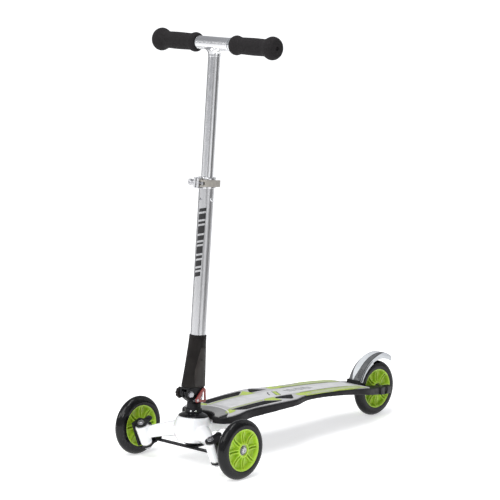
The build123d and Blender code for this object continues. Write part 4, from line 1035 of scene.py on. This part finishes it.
class SCOOTER_OT_finishes(bpy.types.Operator):
    """Makes every material from the chosen colours"""
    bl_idname = "scooter.make_finishes"
    bl_label = "Make finishes"

    def execute(self, context):
        make_finishes(context.scene.scooter_colours)
        return {"FINISHED"}


class SCOOTER_OT_wheels(bpy.types.Operator):
    """Adds the tyres, spoked hubs and bearings of the three wheels"""
    bl_idname = "scooter.add_wheels"
    bl_label = "Add wheels"

    def execute(self, context):
        build_wheels(context.scene.scooter_sizes)
        return {"FINISHED"}


class SCOOTER_OT_front_axle(bpy.types.Operator):
    """Adds the front beam, the steering knuckles and the tie rod"""
    bl_idname = "scooter.add_front_axle"
    bl_label = "Add front axle"

    def execute(self, context):
        build_front_axle(context.scene.scooter_sizes)
        return {"FINISHED"}


class SCOOTER_OT_hinge(bpy.types.Operator):
    """Adds the neck, the fold hinge, its release lever and its tension knob"""
    bl_idname = "scooter.add_hinge"
    bl_label = "Add fold hinge"

    def execute(self, context):
        build_hinge(context.scene.scooter_sizes)
        return {"FINISHED"}


class SCOOTER_OT_column(bpy.types.Operator):
    """Adds the lower tube, the hinge cover and the collar clamp"""
    bl_idname = "scooter.add_column"
    bl_label = "Add column"

    def execute(self, context):
        build_column(context.scene.scooter_sizes)
        return {"FINISHED"}


class SCOOTER_OT_handlebar(bpy.types.Operator):
    """Adds the sliding post, the crossbar and the grips"""
    bl_idname = "scooter.add_handlebar"
    bl_label = "Add handlebar"

    def execute(self, context):
        build_handlebar(context.scene.scooter_sizes)
        return {"FINISHED"}


class SCOOTER_OT_deck(bpy.types.Operator):
    """Adds the deck, its pads and its printed stripes"""
    bl_idname = "scooter.add_deck"
    bl_label = "Add deck"

    def execute(self, context):
        build_deck(context.scene.scooter_sizes)
        return {"FINISHED"}


class SCOOTER_OT_rear_brake(bpy.types.Operator):
    """Adds the fender brake and the rear axle's fasteners"""
    bl_idname = "scooter.add_rear_brake"
    bl_label = "Add rear brake"

    def execute(self, context):
        build_rear_brake(context.scene.scooter_sizes)
        return {"FINISHED"}


class SCOOTER_OT_studio(bpy.types.Operator):
    """Adds the floor, the lights, the reflecting cards and the camera"""
    bl_idname = "scooter.add_studio"
    bl_label = "Add studio"

    def execute(self, context):
        build_studio(context.scene.scooter_sizes, context.scene.scooter_colours)
        return {"FINISHED"}


OPERATORS = (SCOOTER_OT_finishes, SCOOTER_OT_wheels, SCOOTER_OT_front_axle, SCOOTER_OT_hinge, SCOOTER_OT_column,
             SCOOTER_OT_handlebar, SCOOTER_OT_deck, SCOOTER_OT_rear_brake, SCOOTER_OT_studio)


class SCOOTER_PT_builder(bpy.types.Panel):
    """Sidebar panel with the scooter's sizes, colours and build steps"""
    bl_label = "Kick scooter"
    bl_idname = "SCOOTER_PT_builder"
    bl_space_type = "VIEW_3D"
    bl_region_type = "UI"
    bl_category = "Scooter"

    def draw(self, context):
        for group in (context.scene.scooter_sizes, context.scene.scooter_colours):
            box = self.layout.box()
            for key in group.__annotations__:
                box.prop(group, key)
        column = self.layout.column(align=True)
        for operator in OPERATORS:
            column.operator(operator.bl_idname)


CLASSES = (ScooterSizes, ScooterColours, *OPERATORS, SCOOTER_PT_builder)


def register():
    for cls in CLASSES:
        bpy.utils.register_class(cls)
    bpy.types.Scene.scooter_sizes = PointerProperty(type=ScooterSizes)
    bpy.types.Scene.scooter_colours = PointerProperty(type=ScooterColours)


def unregister():
    del bpy.types.Scene.scooter_colours
    del bpy.types.Scene.scooter_sizes
    for cls in reversed(CLASSES):
        bpy.utils.unregister_class(cls)


def main():
    register()
    for operator in OPERATORS:
        group, step = operator.bl_idname.split(".")
        getattr(getattr(bpy.ops, group), step)()


if __name__ == "__main__":
    main()
